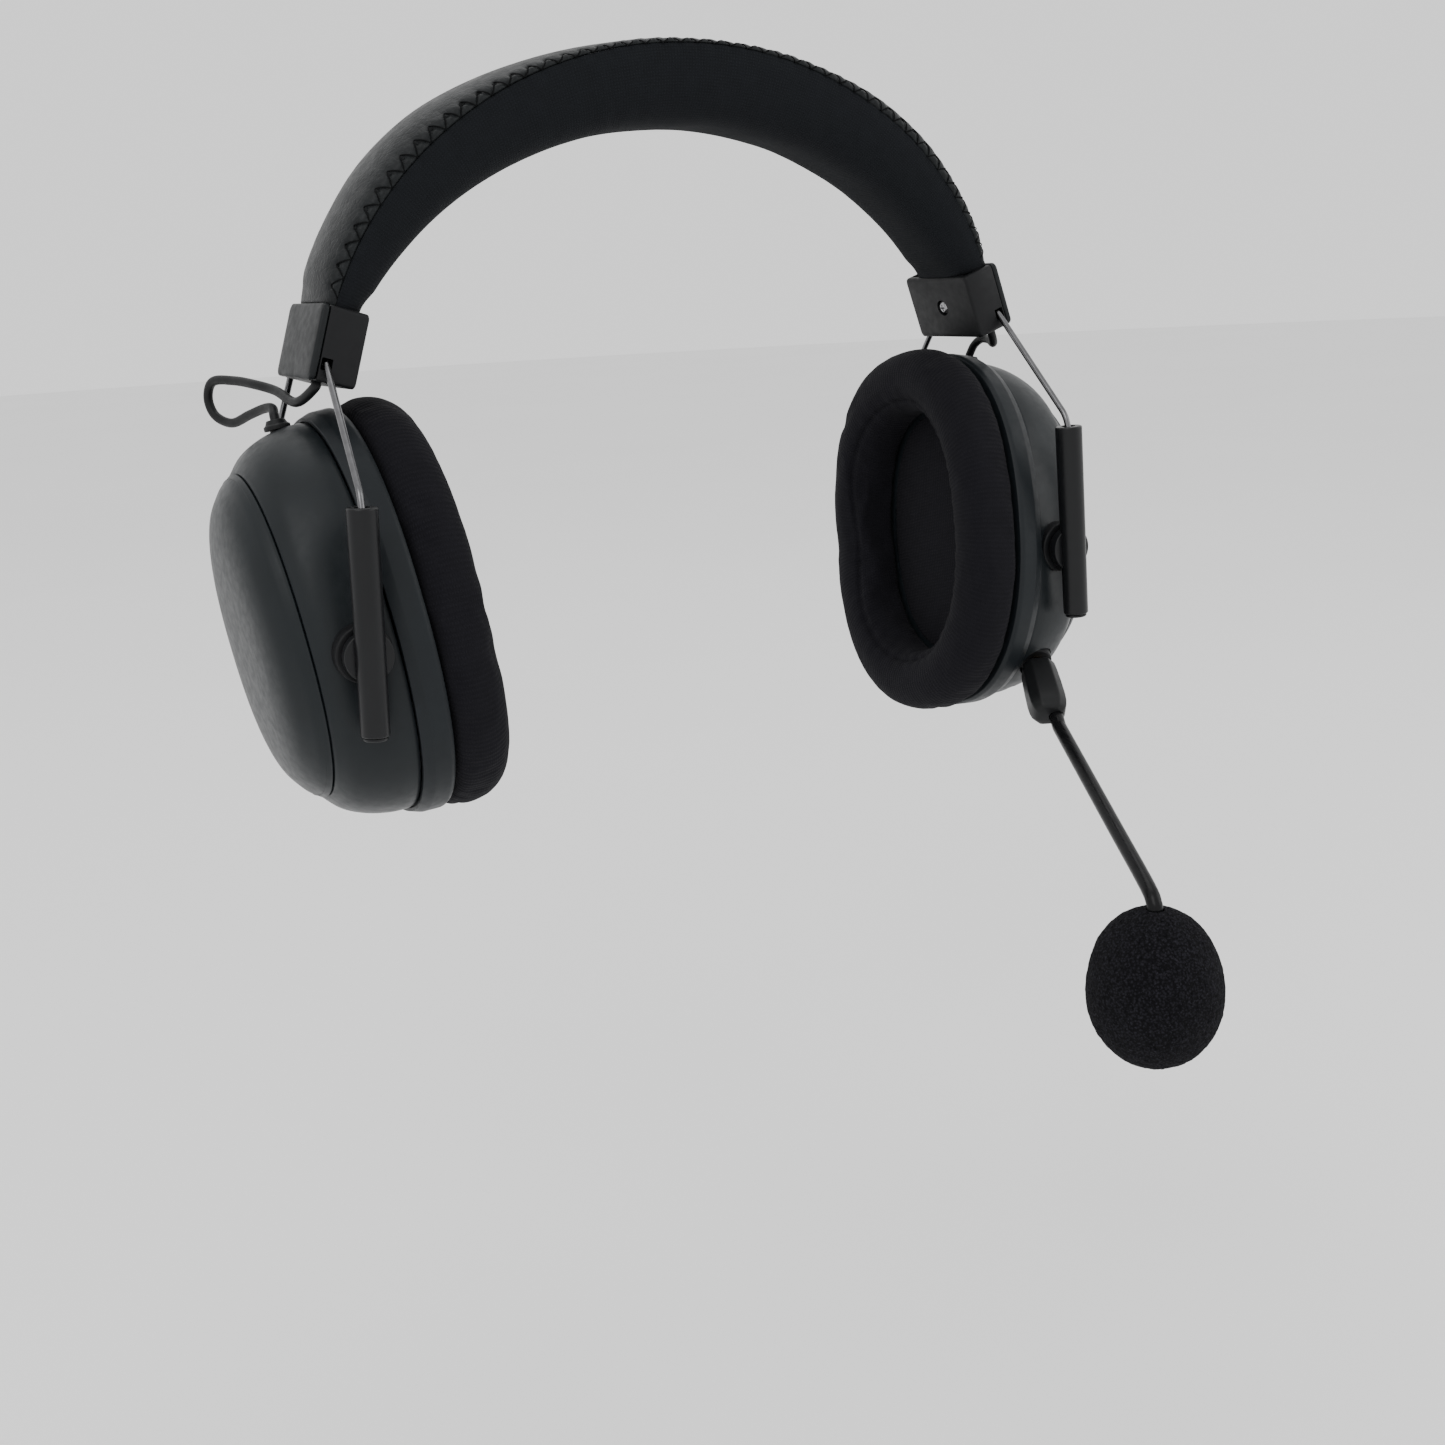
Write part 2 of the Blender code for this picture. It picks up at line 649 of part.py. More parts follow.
def make_button(shop, name, place, housing, cup):
    point, normal = wall_place(place)
    button = turned(
        shop,
        name,
        [
            (0, 0.9 * MM),
            (BUTTON_RADIUS - 0.5 * MM, 0.9 * MM),
            (BUTTON_RADIUS, 0.4 * MM),
            (BUTTON_RADIUS, -WALL - 1.7 * MM),
            (BUTTON_RADIUS + MM, -WALL - 1.7 * MM),
            (BUTTON_RADIUS + MM, -WALL - 2.7 * MM),
            (0, -WALL - 2.7 * MM),
        ],
        "dark_plastic",
        cup,
        16,
    )
    button.matrix_local = aim(normal, point)
    hole = shop.add_cutter(f"{name}_hole", cylinder_mesh(f"{name}_hole", BUTTON_RADIUS + 0.4 * MM, 12 * MM, 16), cup)
    hole.matrix_local = aim(normal, point - normal * 4 * MM)
    boolean(housing, hole)


def make_dial(shop, housing, cup):
    """A knurled volume wheel, which shows through a slot in the cup's lower rear wall."""
    point, normal = wall_place(DIAL_PLACE)
    centre = point - normal * (DIAL_RADIUS - 1.9 * MM)
    teeth = 24
    bm = bmesh.new()
    rows = []
    for x in (-1.6 * MM, 1.6 * MM):
        radii = [DIAL_RADIUS - (0.5 * MM if i % 2 else 0.0) for i in range(2 * teeth)]
        rows.append(
            [bm.verts.new((x, r * cos(pi * i / teeth), r * sin(pi * i / teeth))) for i, r in enumerate(radii)]
        )
    bm.faces.new(rows[0])
    bm.faces.new(rows[1])
    for i in range(2 * teeth):
        j = (i + 1) % (2 * teeth)
        bm.faces.new((rows[0][i], rows[0][j], rows[1][j], rows[1][i]))
    dial = shop.add("left_volume_dial", mesh_from_bmesh("left_volume_dial", bm, 20), "dark_plastic", cup)
    dial.location = centre
    slot = shop.add_cutter(
        "volume_slot",
        cylinder_mesh("volume_slot", DIAL_RADIUS + 0.6 * MM, 4.2 * MM, 24, start=-2.1 * MM),
        cup,
    )
    slot.rotation_euler = (0, pi / 2, 0)
    slot.location = centre
    boolean(housing, slot)
    spindle = turned(
        shop,
        "left_volume_encoder",
        [(0, -1.9 * MM), (2.6 * MM, -1.9 * MM), (2.6 * MM, -3.2 * MM), (0, -3.2 * MM)],
        "steel",
        cup,
        16,
    )
    spindle.rotation_euler = (0, pi / 2, 0)
    spindle.location = centre


def make_port(shop, housing, cup):
    """The charging socket in the cup's underside."""
    point, normal = wall_place(PORT_PLACE)
    port = shop.add("left_charge_port", box_mesh("left_charge_port", (3.6 * MM, 9.4 * MM, 7.4 * MM), 0.9 * MM, 2), "steel", cup)
    port.matrix_local = aim_flat(normal, point - normal * 4.0 * MM)
    socket = shop.add_cutter("charge_socket", box_mesh("charge_socket", (2.5 * MM, 8.2 * MM, 8 * MM), 0.6 * MM, 2), cup)
    socket.matrix_local = aim_flat(normal, point + normal * 1.4 * MM)
    boolean(port, socket)
    hole = shop.add_cutter("charge_hole", box_mesh("charge_hole", (4.6 * MM, 10.4 * MM, 12 * MM), 0.9 * MM, 1), cup)
    hole.matrix_local = aim_flat(normal, point - normal * 2 * MM)
    boolean(housing, hole)


def aim_flat(direction, centre):
    """Like aim, with the X axis kept along the cup's X."""
    side_axis = Vector((1, 0, 0))
    across = direction.cross(side_axis).normalized()
    turn = Matrix((side_axis, across, direction)).transposed().to_4x4()
    return Matrix.Translation(centre) @ turn


def make_electronics(shop, cup_left, cup_right):
    board = shop.add("left_circuit_board", box_mesh("left_circuit_board", (1.2 * MM, 40 * MM, 44 * MM)), "board", cup_left)
    board.location = CUP_CENTRE + Vector((14.2, -1.0, 2.0)) * MM
    battery = shop.add(
        "right_battery", box_mesh("right_battery", (6 * MM, 30 * MM, 42 * MM), 1.2 * MM, 2), "film", cup_right
    )
    battery.location = mirrored(CUP_CENTRE + Vector((18.5, 0, 0)) * MM, RIGHT)


# ---------------------------------------------------------------- link cables


def cable_route(name, side, cup_matrix):
    """Points from inside the cap, down its loop and through the gland into the cup's top."""
    cap = cap_matrix(LEFT)
    inside = [cap @ Vector(place) for place in mm((-0.2, -8.5, -2.6), (-0.2, -8.5, -6.5), (1.0, -8.5, -11.2))]
    through = [cap @ (CABLE_START + Vector((0, 0, lift * MM))) for lift in (2.4, 0.0, -1.6)]
    loops = {
        "right": mm(
            (101.3, 0.4, -62.2), (103.5, 13.1, -59.1), (106.8, 21.0, -57.5), (109.9, 29.4, -56.6),
            (113.4, 37.2, -56.8), (114.5, 40.2, -61.0), (113.5, 38.9, -65.5), (110.7, 33.3, -67.4),
            (107.8, 25.5, -65.2), (105.6, 18.5, -63.5), (104.8, 13.5, -63.3),
        ),
        "left": mm(
            (101.4, -7.0, -60.2), (103.4, -4.2, -61.3), (105.5, 0.5, -60.5), (105.9, 4.7, -60.4), (105.7, 8.0, -62.1)
        ),
    }
    point, normal = wall_place(CABLE_ENTRY)
    into = [cup_matrix @ (point + normal * reach * MM) for reach in (3.4, -4.0, -17.5)]
    return [*smooth_path([*inside, *through, *[Vector(p) for p in loops[name]], into[0]], 3), *into[1:]]


def make_cable(shop, name, side, cup, housing):
    cup_matrix = (
        Matrix.Translation((PIVOT_X, 0, PIVOT_Z)) @ Matrix.Rotation(CUP_TILT, 4, "Y") @ Matrix.Rotation(CUP_RAKE, 4, "X")
    )
    route = [mirrored(p, side) for p in cable_route(name, side, cup_matrix)]
    lengths = [(b - a).length for a, b in zip(route, route[1:])]
    half, run, cut = sum(lengths) / 2, 0.0, 0
    while run < half:
        run += lengths[cut]
        cut += 1
    joint = (route[cut] - route[cut - 1]).normalized() * 1.5 * GAP
    tube(shop, f"{name}_cable_upper", [*route[:cut], route[cut] - joint], CABLE_RADIUS, "rubber", resolution=1)
    tube(shop, f"{name}_cable_lower", route[cut:], CABLE_RADIUS, "rubber", resolution=1)
    point, normal = wall_place(CABLE_ENTRY)
    gland = turned(
        shop,
        f"{name}_cable_gland",
        [
            (CABLE_BORE, 2.4 * MM),
            (2.4 * MM, 2.4 * MM),
            (3.0 * MM, 0.9 * MM),
            (3.0 * MM, 0.5 * MM),
            (2.0 * MM, 0.5 * MM),
            (2.0 * MM, -WALL - MM),
            (CABLE_BORE, -WALL - MM),
            (CABLE_BORE, 2.4 * MM),
        ],
        "rubber",
        cup,
        16,
    )
    gland.matrix_local = aim(mirrored(normal, side), mirrored(point, side))
    hole = shop.add_cutter(f"{name}_gland_hole", cylinder_mesh(f"{name}_gland_hole", 2.0 * MM + 0.4 * MM, 12 * MM, 12), cup)
    hole.matrix_local = aim(mirrored(normal, side), mirrored(point - normal * 5 * MM, side))
    boolean(housing, hole)


# ---------------------------------------------------------------- boom microphone


def make_socket(shop, housing):
    """The microphone's jack socket, which fills a hole in the left cup's lower front wall."""
    place = aim(PLUG_DIRECTION, SOCKET_MOUTH)
    socket = turned(
        shop,
        "left_mic_socket",
        [
            (JACK_RADIUS + GAP, -0.4 * MM),
            (4.6 * MM, -0.4 * MM),
            (4.6 * MM, -4.6 * MM),
            (3.6 * MM, -4.6 * MM),
            (3.6 * MM, -15.5 * MM),
            (JACK_RADIUS + GAP, -15.5 * MM),
            (JACK_RADIUS + GAP, -0.4 * MM),
        ],
        "dark_plastic",
        None,
        20,
    )
    socket.matrix_world = place
    hole = shop.add_cutter("mic_socket_hole", cylinder_mesh("mic_socket_hole", 5.0 * MM, 12 * MM, 16, start=-9 * MM))
    hole.matrix_world = place
    boolean(housing, hole)


def make_mic_plug(shop):
    """The plug's body, an eight-sided tapering block with the jack in one end and the boom in the other."""
    place = aim(PLUG_DIRECTION, SOCKET_MOUTH)
    corners = [(1, 0.55), (0.55, 1), (-0.55, 1), (-1, 0.55), (-1, -0.55), (-0.55, -1), (0.55, -1), (1, -0.55)]
    sections = mm((2.0, 8.8, 8.4), (3.2, 9.8, 9.6), (16.5, 10.4, 9.8), (20.4, 9.2, 8.6), (22.0, 7.0, 6.4))
    rings = [[Vector((width / 2 * x, height / 2 * y, length)) for x, y in corners] for length, width, height in sections]
    plug = shop.add("mic_plug", loft("mic_plug", rings), "dark_plastic")
    plug.matrix_world = place
    seats = (("jack_seat", JACK_RADIUS, -2 * MM, 10 * MM, place), ("boom_seat", BOOM_RADIUS, 13 * MM, 12 * MM, boom_frame()))
    for label, radius, start, length, frame in seats:
        cutter = shop.add_cutter(label, cylinder_mesh(label, radius + GAP, length, 16, start=start))
        cutter.matrix_world = frame
        boolean(plug, cutter)
    jack = turned(
        shop,
        "mic_jack",
        [
            (0, 7.6 * MM),
            (JACK_RADIUS, 7.6 * MM),
            (JACK_RADIUS, -11.0 * MM),
            (1.2 * MM, -11.8 * MM),
            (1.6 * MM, -12.8 * MM),
            (0.5 * MM, -14.2 * MM),
            (0, -14.2 * MM),
        ],
        "brass",
        None,
        16,
    )
    jack.matrix_world = place


def boom_frame():
    """The plug's frame, moved outward to the boom's own line."""
    outward = (Vector((1, 0, 0)) - PLUG_DIRECTION * PLUG_DIRECTION.x).normalized()
    return aim(PLUG_DIRECTION, SOCKET_MOUTH + outward * BOOM_OFFSET)


def boom_route():
    start = boom_frame() @ Vector((0, 0, 13.6 * MM))
    leave = boom_frame() @ Vector((0, 0, PLUG_LENGTH + 4 * MM))
    foam = FOAM_TOP
    elbow = foam + Vector((1.3, 4.2, 4.0)) * MM
    run = [leave.lerp(elbow, share) for share in (0.0, 0.33, 0.66, 1.0)]
    return [start, *smooth_path([*run, foam + Vector((0, 0.2, 0.6)) * MM], 3), foam - Vector((0, 0, 5 * MM))]


def make_boom(shop):
    """The bendable boom, in three stiff lengths that meet at two bends, with the capsule and foam on its end."""
    route = boom_route()
    cuts = (4, 7)
    for label, first, last in (("root", 0, cuts[0]), ("middle", cuts[0], cuts[1]), ("end", cuts[1], len(route) - 1)):
        points = [p.copy() for p in route[first : last + 1]]
        if first:
            points[0] += (points[1] - points[0]).normalized() * BOOM_GAP / 2
        if last < len(route) - 1:
            points[-1] += (points[-2] - points[-1]).normalized() * BOOM_GAP / 2
        tube(shop, f"mic_boom_{label}", points, BOOM_RADIUS, "rubber")
    capsule = turned(
        shop,
        "mic_capsule",
        [(0, -5.4 * MM), (4.2 * MM, -5.4 * MM), (4.6 * MM, -6.0 * MM), (4.6 * MM, -12.6 * MM), (0, -12.6 * MM)],
        "steel",
        None,
        20,
    )
    capsule.location = FOAM_TOP
    neck, pocket, count = BOOM_RADIUS + GAP, 4.6 * MM + GAP, 11
    profile = [(0, -13.0 * MM), (pocket, -13.0 * MM), (pocket, -5.0 * MM), (neck, -4.0 * MM), (neck, -0.6 * MM)]
    for i in range(1, count + 1):
        angle = radians(12) + (pi - radians(12)) * i / count
        radius = FOAM_RADIUS * sin(angle) if i < count else 0
        profile.append((radius, FOAM_HALF_HEIGHT * (cos(angle) - 1)))
    foam = turned(shop, "mic_foam", profile, "foam", None, 20)
    foam.location = FOAM_TOP


# ---------------------------------------------------------------- whole object


def make_all():
    clear_scene()
    shop = Workshop()
    make_headband(shop)
    cups, housings = {}, {}
    for name, side in SIDES.items():
        make_cap(shop, name, side)
        pivot = (side * PIVOT_X, 0, PIVOT_Z)
        yoke = shop.add_empty(f"{name}_yoke", pivot, (0, -side * TUBE_SPLAY, 0))
        ear = shop.add_empty(f"{name}_ear", pivot, (0, side * CUP_TILT, 0))
        cups[name] = shop.add_empty(f"{name}_cup", (0, 0, 0), (CUP_RAKE, 0, 0), ear)
        for end in ("front", "rear"):
            make_wire(shop, name, end, side)
            make_slider(shop, name, end, side, yoke)
        housings[name] = make_cup(shop, name, side, ear, cups[name])
        make_cable(shop, name, side, cups[name], housings[name])
    make_button(shop, "left_mute_button", MUTE_PLACE, housings["left"], cups["left"])
    make_button(shop, "left_power_button", POWER_PLACE, housings["left"], cups["left"])
    make_dial(shop, housings["left"], cups["left"])
    make_port(shop, housings["left"], cups["left"])
    make_electronics(shop, cups["left"], cups["right"])
    make_socket(shop, housings["left"])
    make_mic_plug(shop)
    make_boom(shop)


make_all()
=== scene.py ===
"""The visible finish of an over-ear headset with a plug-in boom microphone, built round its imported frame.

Frame: origin under the crown of the headband; +Z up, +X to the wearer's left, -Y to the front.
Side pieces are modelled once, for the left, and mirrored for the right.
"""

from math import cos, pi, radians, sin

import bmesh
import bpy
import numpy as np
from mathutils import Matrix, Vector, noise


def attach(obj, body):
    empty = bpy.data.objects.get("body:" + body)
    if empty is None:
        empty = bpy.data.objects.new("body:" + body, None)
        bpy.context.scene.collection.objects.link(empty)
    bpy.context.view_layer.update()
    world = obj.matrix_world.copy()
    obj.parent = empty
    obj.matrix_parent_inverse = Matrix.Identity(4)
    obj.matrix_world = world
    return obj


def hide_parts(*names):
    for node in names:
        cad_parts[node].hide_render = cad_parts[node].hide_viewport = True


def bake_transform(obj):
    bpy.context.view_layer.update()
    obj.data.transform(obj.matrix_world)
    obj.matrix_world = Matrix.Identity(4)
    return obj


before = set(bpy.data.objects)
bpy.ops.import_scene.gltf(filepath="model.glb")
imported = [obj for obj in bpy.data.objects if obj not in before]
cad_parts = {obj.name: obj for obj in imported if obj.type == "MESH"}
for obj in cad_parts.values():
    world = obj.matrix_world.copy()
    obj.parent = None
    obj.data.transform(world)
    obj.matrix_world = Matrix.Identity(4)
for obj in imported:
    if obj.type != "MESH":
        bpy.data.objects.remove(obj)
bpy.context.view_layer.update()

bl_info = {
    "name": "Boom headset finish",
    "version": (1, 0, 0),
    "blender": (4, 5, 0),
    "location": "3D View > Sidebar > Headset",
    "description": "Builds the visible pieces of an over-ear headset with a plug-in boom microphone",
    "category": "Add Mesh",
}

MM = 0.001
UP = Vector((0, 0, 1))

# The frame's own sizes, which the pieces follow.
ARCH_HALF_SPAN, ARCH_RISE, ARCH_BASE_Z = 98.8 * MM, 85.5 * MM, -66.3 * MM
CAP_START, CAP_LEAN, CAP_OFFSET = radians(18.5), radians(18.4), 2.5 * MM
BAND_HALF_WIDTH, BAND_END_HALF_WIDTH = 16.5 * MM, 13.2 * MM
PAD_DEPTH, COVER_RISE = 18.9 * MM, 4.2 * MM
CAP_SIZE, CAP_SPLIT, WIRE_HEIGHT = Vector((11.6, 30.0, 18.0)) * MM, 2.2 * MM, 4.2 * MM
PIVOT = Vector((102.5, 0, -117.8)) * MM
TUBE_Y, TUBE_RADIUS, TUBE_END_RADIUS = 41.6 * MM, 3.7 * MM, 3.45 * MM
TUBE_ABOVE, TUBE_BELOW, TUBE_SPLAY = 34.6 * MM, 18.6 * MM, radians(2.7)
STOP_RADIUS = 1.8 * MM
CUP_TILT, CUP_RAKE = radians(6.4), radians(-14.4)
CUP_CENTRE = Vector((-16.5, -0.5, 0.8)) * MM
OUTLINE_POWER, WALL = 2.25, 2.0 * MM
CABLE_START, CABLE_ENTRY = Vector((CAP_SPLIT, -8.5 * MM, -CAP_SIZE.z)), (radians(94), 13.5 * MM)
# Where each control sits on the cup's wall: the angle round it, up from the rear, and the depth.
MUTE_PLACE, POWER_PLACE = (radians(27), 16.6 * MM), (radians(-24), 16.6 * MM)
DIAL_PLACE, PORT_PLACE = (radians(-58), 18.0 * MM), (radians(-97), 16.0 * MM)
DIAL_DEPTH = 6.1 * MM  # from the wall to the dial's axle
SOCKET_MOUTH = Vector((97.0, -31.3, -151.9)) * MM
PLUG_DIRECTION = Vector((-0.38, -0.77, -0.50)).normalized()
PLUG_LENGTH, BOOM_OFFSET = 22.0 * MM, 1.8 * MM
FOAM_TOP = Vector((64.6, -118.6, -193.6)) * MM
BOOM_LIFT = Vector((81.19, -72.61, -173.36)) * MM
BOOM_MIDDLE = Vector((77.43, -82.9, -177.34)) * MM
BOOM_SWING = Vector((73.66, -93.19, -181.36)) * MM


def mm(*rows):
    return [tuple(value * MM for value in row) for row in rows]


HOUSING = mm((35.8, 49.9, 8.2), (35.7, 49.6, 13.0), (34.8, 48.2, 18.5), (33.3, 45.6, 23.5), (31.0, 41.6, 27.2))
DOME = mm(
    (30.7, 41.2, 27.5), (29.9, 40.1, 29.2), (28.6, 38.2, 31.0), (24.9, 33.6, 33.9), (19.6, 26.8, 35.7),
    (13.0, 18.0, 36.5), (6.0, 8.5, 36.75),
)
DOME_DEPTH = 36.8 * MM
CUSHION = mm(
    (37.2, 51.2, -0.3), (38.9, 52.9, -3.0), (39.4, 53.4, -7.5), (38.4, 52.4, -12.5), (35.2, 49.2, -16.2),
    (30.5, 44.0, -17.4), (25.6, 38.8, -16.2), (22.4, 35.2, -12.5), (21.2, 34.0, -7.5), (21.8, 34.6, -3.0),
    (22.8, 35.6, -0.3),
)
CABLE_LOOPS = {
    "right": mm(
        (102.1, 0.4, -61.5), (103.5, 13.1, -59.1), (106.8, 21.0, -57.5), (109.9, 29.4, -56.6), (113.4, 37.2, -56.8),
        (114.5, 40.2, -61.0), (113.5, 38.9, -65.5), (110.7, 33.3, -67.4), (107.8, 25.5, -65.2), (105.6, 18.5, -63.5),
        (104.8, 13.5, -63.3),
    ),
    "left": mm(
        (101.4, -7.0, -60.2), (103.4, -4.2, -61.3), (105.5, 0.5, -60.5), (105.9, 4.7, -60.4), (105.7, 8.0, -62.1)
    ),
}


# ---------------------------------------------------------------- settings


def size(name, description, default_mm):
    return bpy.props.FloatProperty(
        name=name, description=description, default=default_mm * MM, min=0.0, unit="LENGTH", subtype="DISTANCE"
    )


def paint(name, description, default):
    return bpy.props.FloatVectorProperty(
        name=name, description=description, default=(*default, 1.0), size=4, min=0.0, max=1.0, subtype="COLOR"
    )


class HeadbandSettings(bpy.types.PropertyGroup):
    stitch_pitch: size("Stitch pitch", "Distance from one hole in the leather to the next", 4.8)
    thread_radius: size("Thread radius", "Radius of the edge stitching's thread", 0.17)
    pucker: size("Pucker", "How far the leather swells between two stitches", 0.42)
    leather: paint("Leather", "Colour of the band's leather cover", (0.0080, 0.0093, 0.0101))
    pad_cloth: paint("Pad cloth", "Colour of the knitted cloth under the band", (0.0064, 0.0072, 0.0086))
    thread: paint("Thread", "Colour of the edge stitching", (0.0030, 0.0032, 0.0035))


class FittingSettings(bpy.types.PropertyGroup):
    cap: paint("End cap", "Colour of the caps' outer plates", (0.0092, 0.0102, 0.0110))
    cap_body: paint("Cap body", "Colour of the caps' bodies", (0.0044, 0.0046, 0.0053))
    tube: paint("Slider tube", "Colour of the slider tubes", (0.0048, 0.0051, 0.0058))
    wire: paint("Wire", "Colour of the yoke's spring wire", (0.16, 0.16, 0.165))
    cable: paint("Cable", "Colour of the link cables", (0.0060, 0.0064, 0.0070))
    cable_radius: size("Cable radius", "Radius of the link cables", 1.2)
    wire_radius: size("Wire radius", "Radius of the yoke's spring wire", 0.85)


class CupSettings(bpy.types.PropertyGroup):
    shell: paint("Shell", "Colour of the cups' housings and domes", (0.0075, 0.0096, 0.0110))
    rim: paint("Rim", "Colour of the cups' rims", (0.0068, 0.0088, 0.0105))
    cushion: paint("Cushion", "Colour of the ear cushions' cloth", (0.0060, 0.0058, 0.0076))
    valley: size("Valley", "Depth of the hollow in the housing behind each slider tube", 1.9)
    fill: bpy.props.FloatProperty(
        name="Cushion fill", description="How tightly the ear cushions are stuffed", default=0.75, min=0.0, max=1.0,
        subtype="FACTOR",
    )


class MicrophoneSettings(bpy.types.PropertyGroup):
    boom_radius: size("Boom radius", "Radius of the boom", 2.0)
    foam_radius: size("Foam radius", "Half the width of the foam windscreen", 16.9)
    foam_half_height: size("Foam half height", "Half the height of the foam windscreen", 20.8)
    foam: paint("Foam", "Colour of the foam windscreen", (0.0120, 0.0116, 0.0150))
    boom: paint("Boom", "Colour of the boom's sleeve", (0.0040, 0.0041, 0.0045))
    plug: paint("Plug", "Colour of the plug's body", (0.0065, 0.0069, 0.0074))


class StageSettings(bpy.types.PropertyGroup):
    floor: paint("Floor", "Colour of the floor", (0.87, 0.87, 0.87))
    floor_height: bpy.props.FloatProperty(
        name="Floor height", description="Height of the floor below the band's crown", default=-0.330, unit="LENGTH",
        subtype="DISTANCE",
    )
    lens: bpy.props.FloatProperty(
        name="Lens", description="Focal length of the camera", default=43.1, min=1.0, unit="CAMERA"
    )
    light: bpy.props.FloatProperty(
        name="Light", description="Power of the key light", default=7.0, min=0.0, unit="POWER"
    )
    sky: bpy.props.FloatProperty(name="Sky", description="Strength of the even light all round", default=1.2, min=0.0)


SETTINGS = {
    "headset_band": HeadbandSettings,
    "headset_fittings": FittingSettings,
    "headset_cups": CupSettings,
    "headset_microphone": MicrophoneSettings,
    "headset_stage": StageSettings,
}


# ---------------------------------------------------------------- materials


class Finish:
    """A procedural finish: one shader whose colour, roughness and relief are fed by layers of texture."""

    def __init__(self, name, colour, roughness, metallic=0.0, coordinates="Object", **constants):
        self.material = bpy.data.materials.new(name)
        self.material.use_nodes = True
        self.tree = self.material.node_tree
        self.shader = self.tree.nodes["Principled BSDF"]
        self.set("Base Color", tuple(colour)[:3] + (1.0,))
        self.set("Roughness", roughness)
        self.set("Metallic", metallic)
        for socket, value in constants.items():
            self.set(socket.replace("_", " "), value)
        self.source = self.tree.nodes.new("ShaderNodeTexCoord").outputs[coordinates]
        self.colour = tuple(colour)[:3] + (1.0,)
        self.relief = None

    def set(self, socket, value):
        self.shader.inputs[socket].default_value = value

    def node(self, kind, links=(), **settings):
        made = self.tree.nodes.new(kind)
        for key, value in settings.items():
            setattr(made, key, value)
        for socket, value in links:
            if isinstance(value, bpy.types.NodeSocket):
                self.tree.links.new(value, made.inputs[socket])
            else:
                made.inputs[socket].default_value = value
        return made

    def place(self, scale):
        """The coordinates divided by a size in metres, or by one for each axis."""
        sizes = scale if isinstance(scale, tuple) else (scale,) * 3
        return self.node("ShaderNodeMapping", [("Vector", self.source), ("Scale", [1 / s for s in sizes])]).outputs[0]

    def noise(self, scale, detail=3.0, roughness=0.55):
        made = self.node(
            "ShaderNodeTexNoise",
            [("Vector", self.place(scale)), ("Scale", 1.0), ("Detail", detail), ("Roughness", roughness)],
        )
        return made.outputs[0]

    def cells(self, scale, feature="F1", smoothness=0.4):
        links = [("Vector", self.place(scale)), ("Scale", 1.0)]
        if feature == "SMOOTH_F1":
            links.append(("Smoothness", smoothness))
        return self.node("ShaderNodeTexVoronoi", links, feature=feature).outputs["Distance"]

    def wave(self, scale, axis="X", distortion=0.0):
        """Ridges square to an axis, this far apart."""
        return self.node(
            "ShaderNodeTexWave",
            [("Vector", self.place(scale)), ("Scale", pi / 10), ("Distortion", distortion), ("Detail", 1.0)],
            bands_direction=axis,
        ).outputs["Fac"]

    def combine(self, first, second, operation="MULTIPLY"):
        return self.node("ShaderNodeMath", [(0, first), (1, second)], operation=operation).outputs[0]

    def band(self, value, low, high, to_low=0.0, to_high=1.0):
        return self.node(
            "ShaderNodeMapRange",
            [("Value", value), ("From Min", low), ("From Max", high), ("To Min", to_low), ("To Max", to_high)],
        ).outputs[0]

    def tint(self, value, colour, low=0.0, high=1.0):
        """Moves the base colour towards another one as the value goes from low to high."""
        mix = self.node("ShaderNodeMix", data_type="RGBA")
        for socket, source in ((0, self.band(value, low, high)), (6, self.colour), (7, tuple(colour)[:3] + (1.0,))):
            if isinstance(source, bpy.types.NodeSocket):
                self.tree.links.new(source, mix.inputs[socket])
            else:
                mix.inputs[socket].default_value = source
        self.colour = mix.outputs[2]
        self.tree.links.new(self.colour, self.shader.inputs["Base Color"])
        return self

    def shift(self, value, share, low=0.3, high=0.7):
        """Lightens or darkens the finish by a share of its own colour."""
        base = self.shader.inputs["Base Color"].default_value
        return self.tint(value, [c * (1 + share) for c in base][:3], low, high)

    def polish(self, value, smooth, rough, low=0.3, high=0.7):
        self.tree.links.new(self.band(value, low, high, smooth, rough), self.shader.inputs["Roughness"])
        return self

    def emboss(self, value, depth, invert=False):
        links = [("Height", value), ("Distance", depth), ("Strength", 1.0)]
        if self.relief:
            links.append(("Normal", self.relief))
        self.relief = self.node("ShaderNodeBump", links, invert=invert).outputs[0]
        self.tree.links.new(self.relief, self.shader.inputs["Normal"])
        return self

    def wear(self, share, low=0.52, high=0.6):
        """Lightens sharp edges, as rubbing does."""
        edge = self.node("ShaderNodeNewGeometry").outputs["Pointiness"]
        scuff = self.combine(self.band(edge, low, high), self.band(self.noise(1.4 * MM), 0.35, 0.65))
        return self.shift(scuff, share, 0.0, 1.0)


def moulded(name, colour, roughness, grain=0.35, gloss=0.2):
    """Moulded plastic with a fine spark-eroded grain, faint flow marks and rubbed edges."""
    finish = Finish(name, colour, roughness, Specular_IOR_Level=gloss)
    fine, broad = finish.noise(grain * MM, 4.0, 0.6), finish.noise(9 * MM, 2.0)
    finish.shift(broad, 0.16).polish(finish.noise(2.3 * MM), roughness * 0.88, roughness * 1.14)
    finish.wear(0.55)
    return finish.emboss(finish.noise(14 * MM, 1.0), 0.02 * MM).emboss(fine, 0.010 * MM)


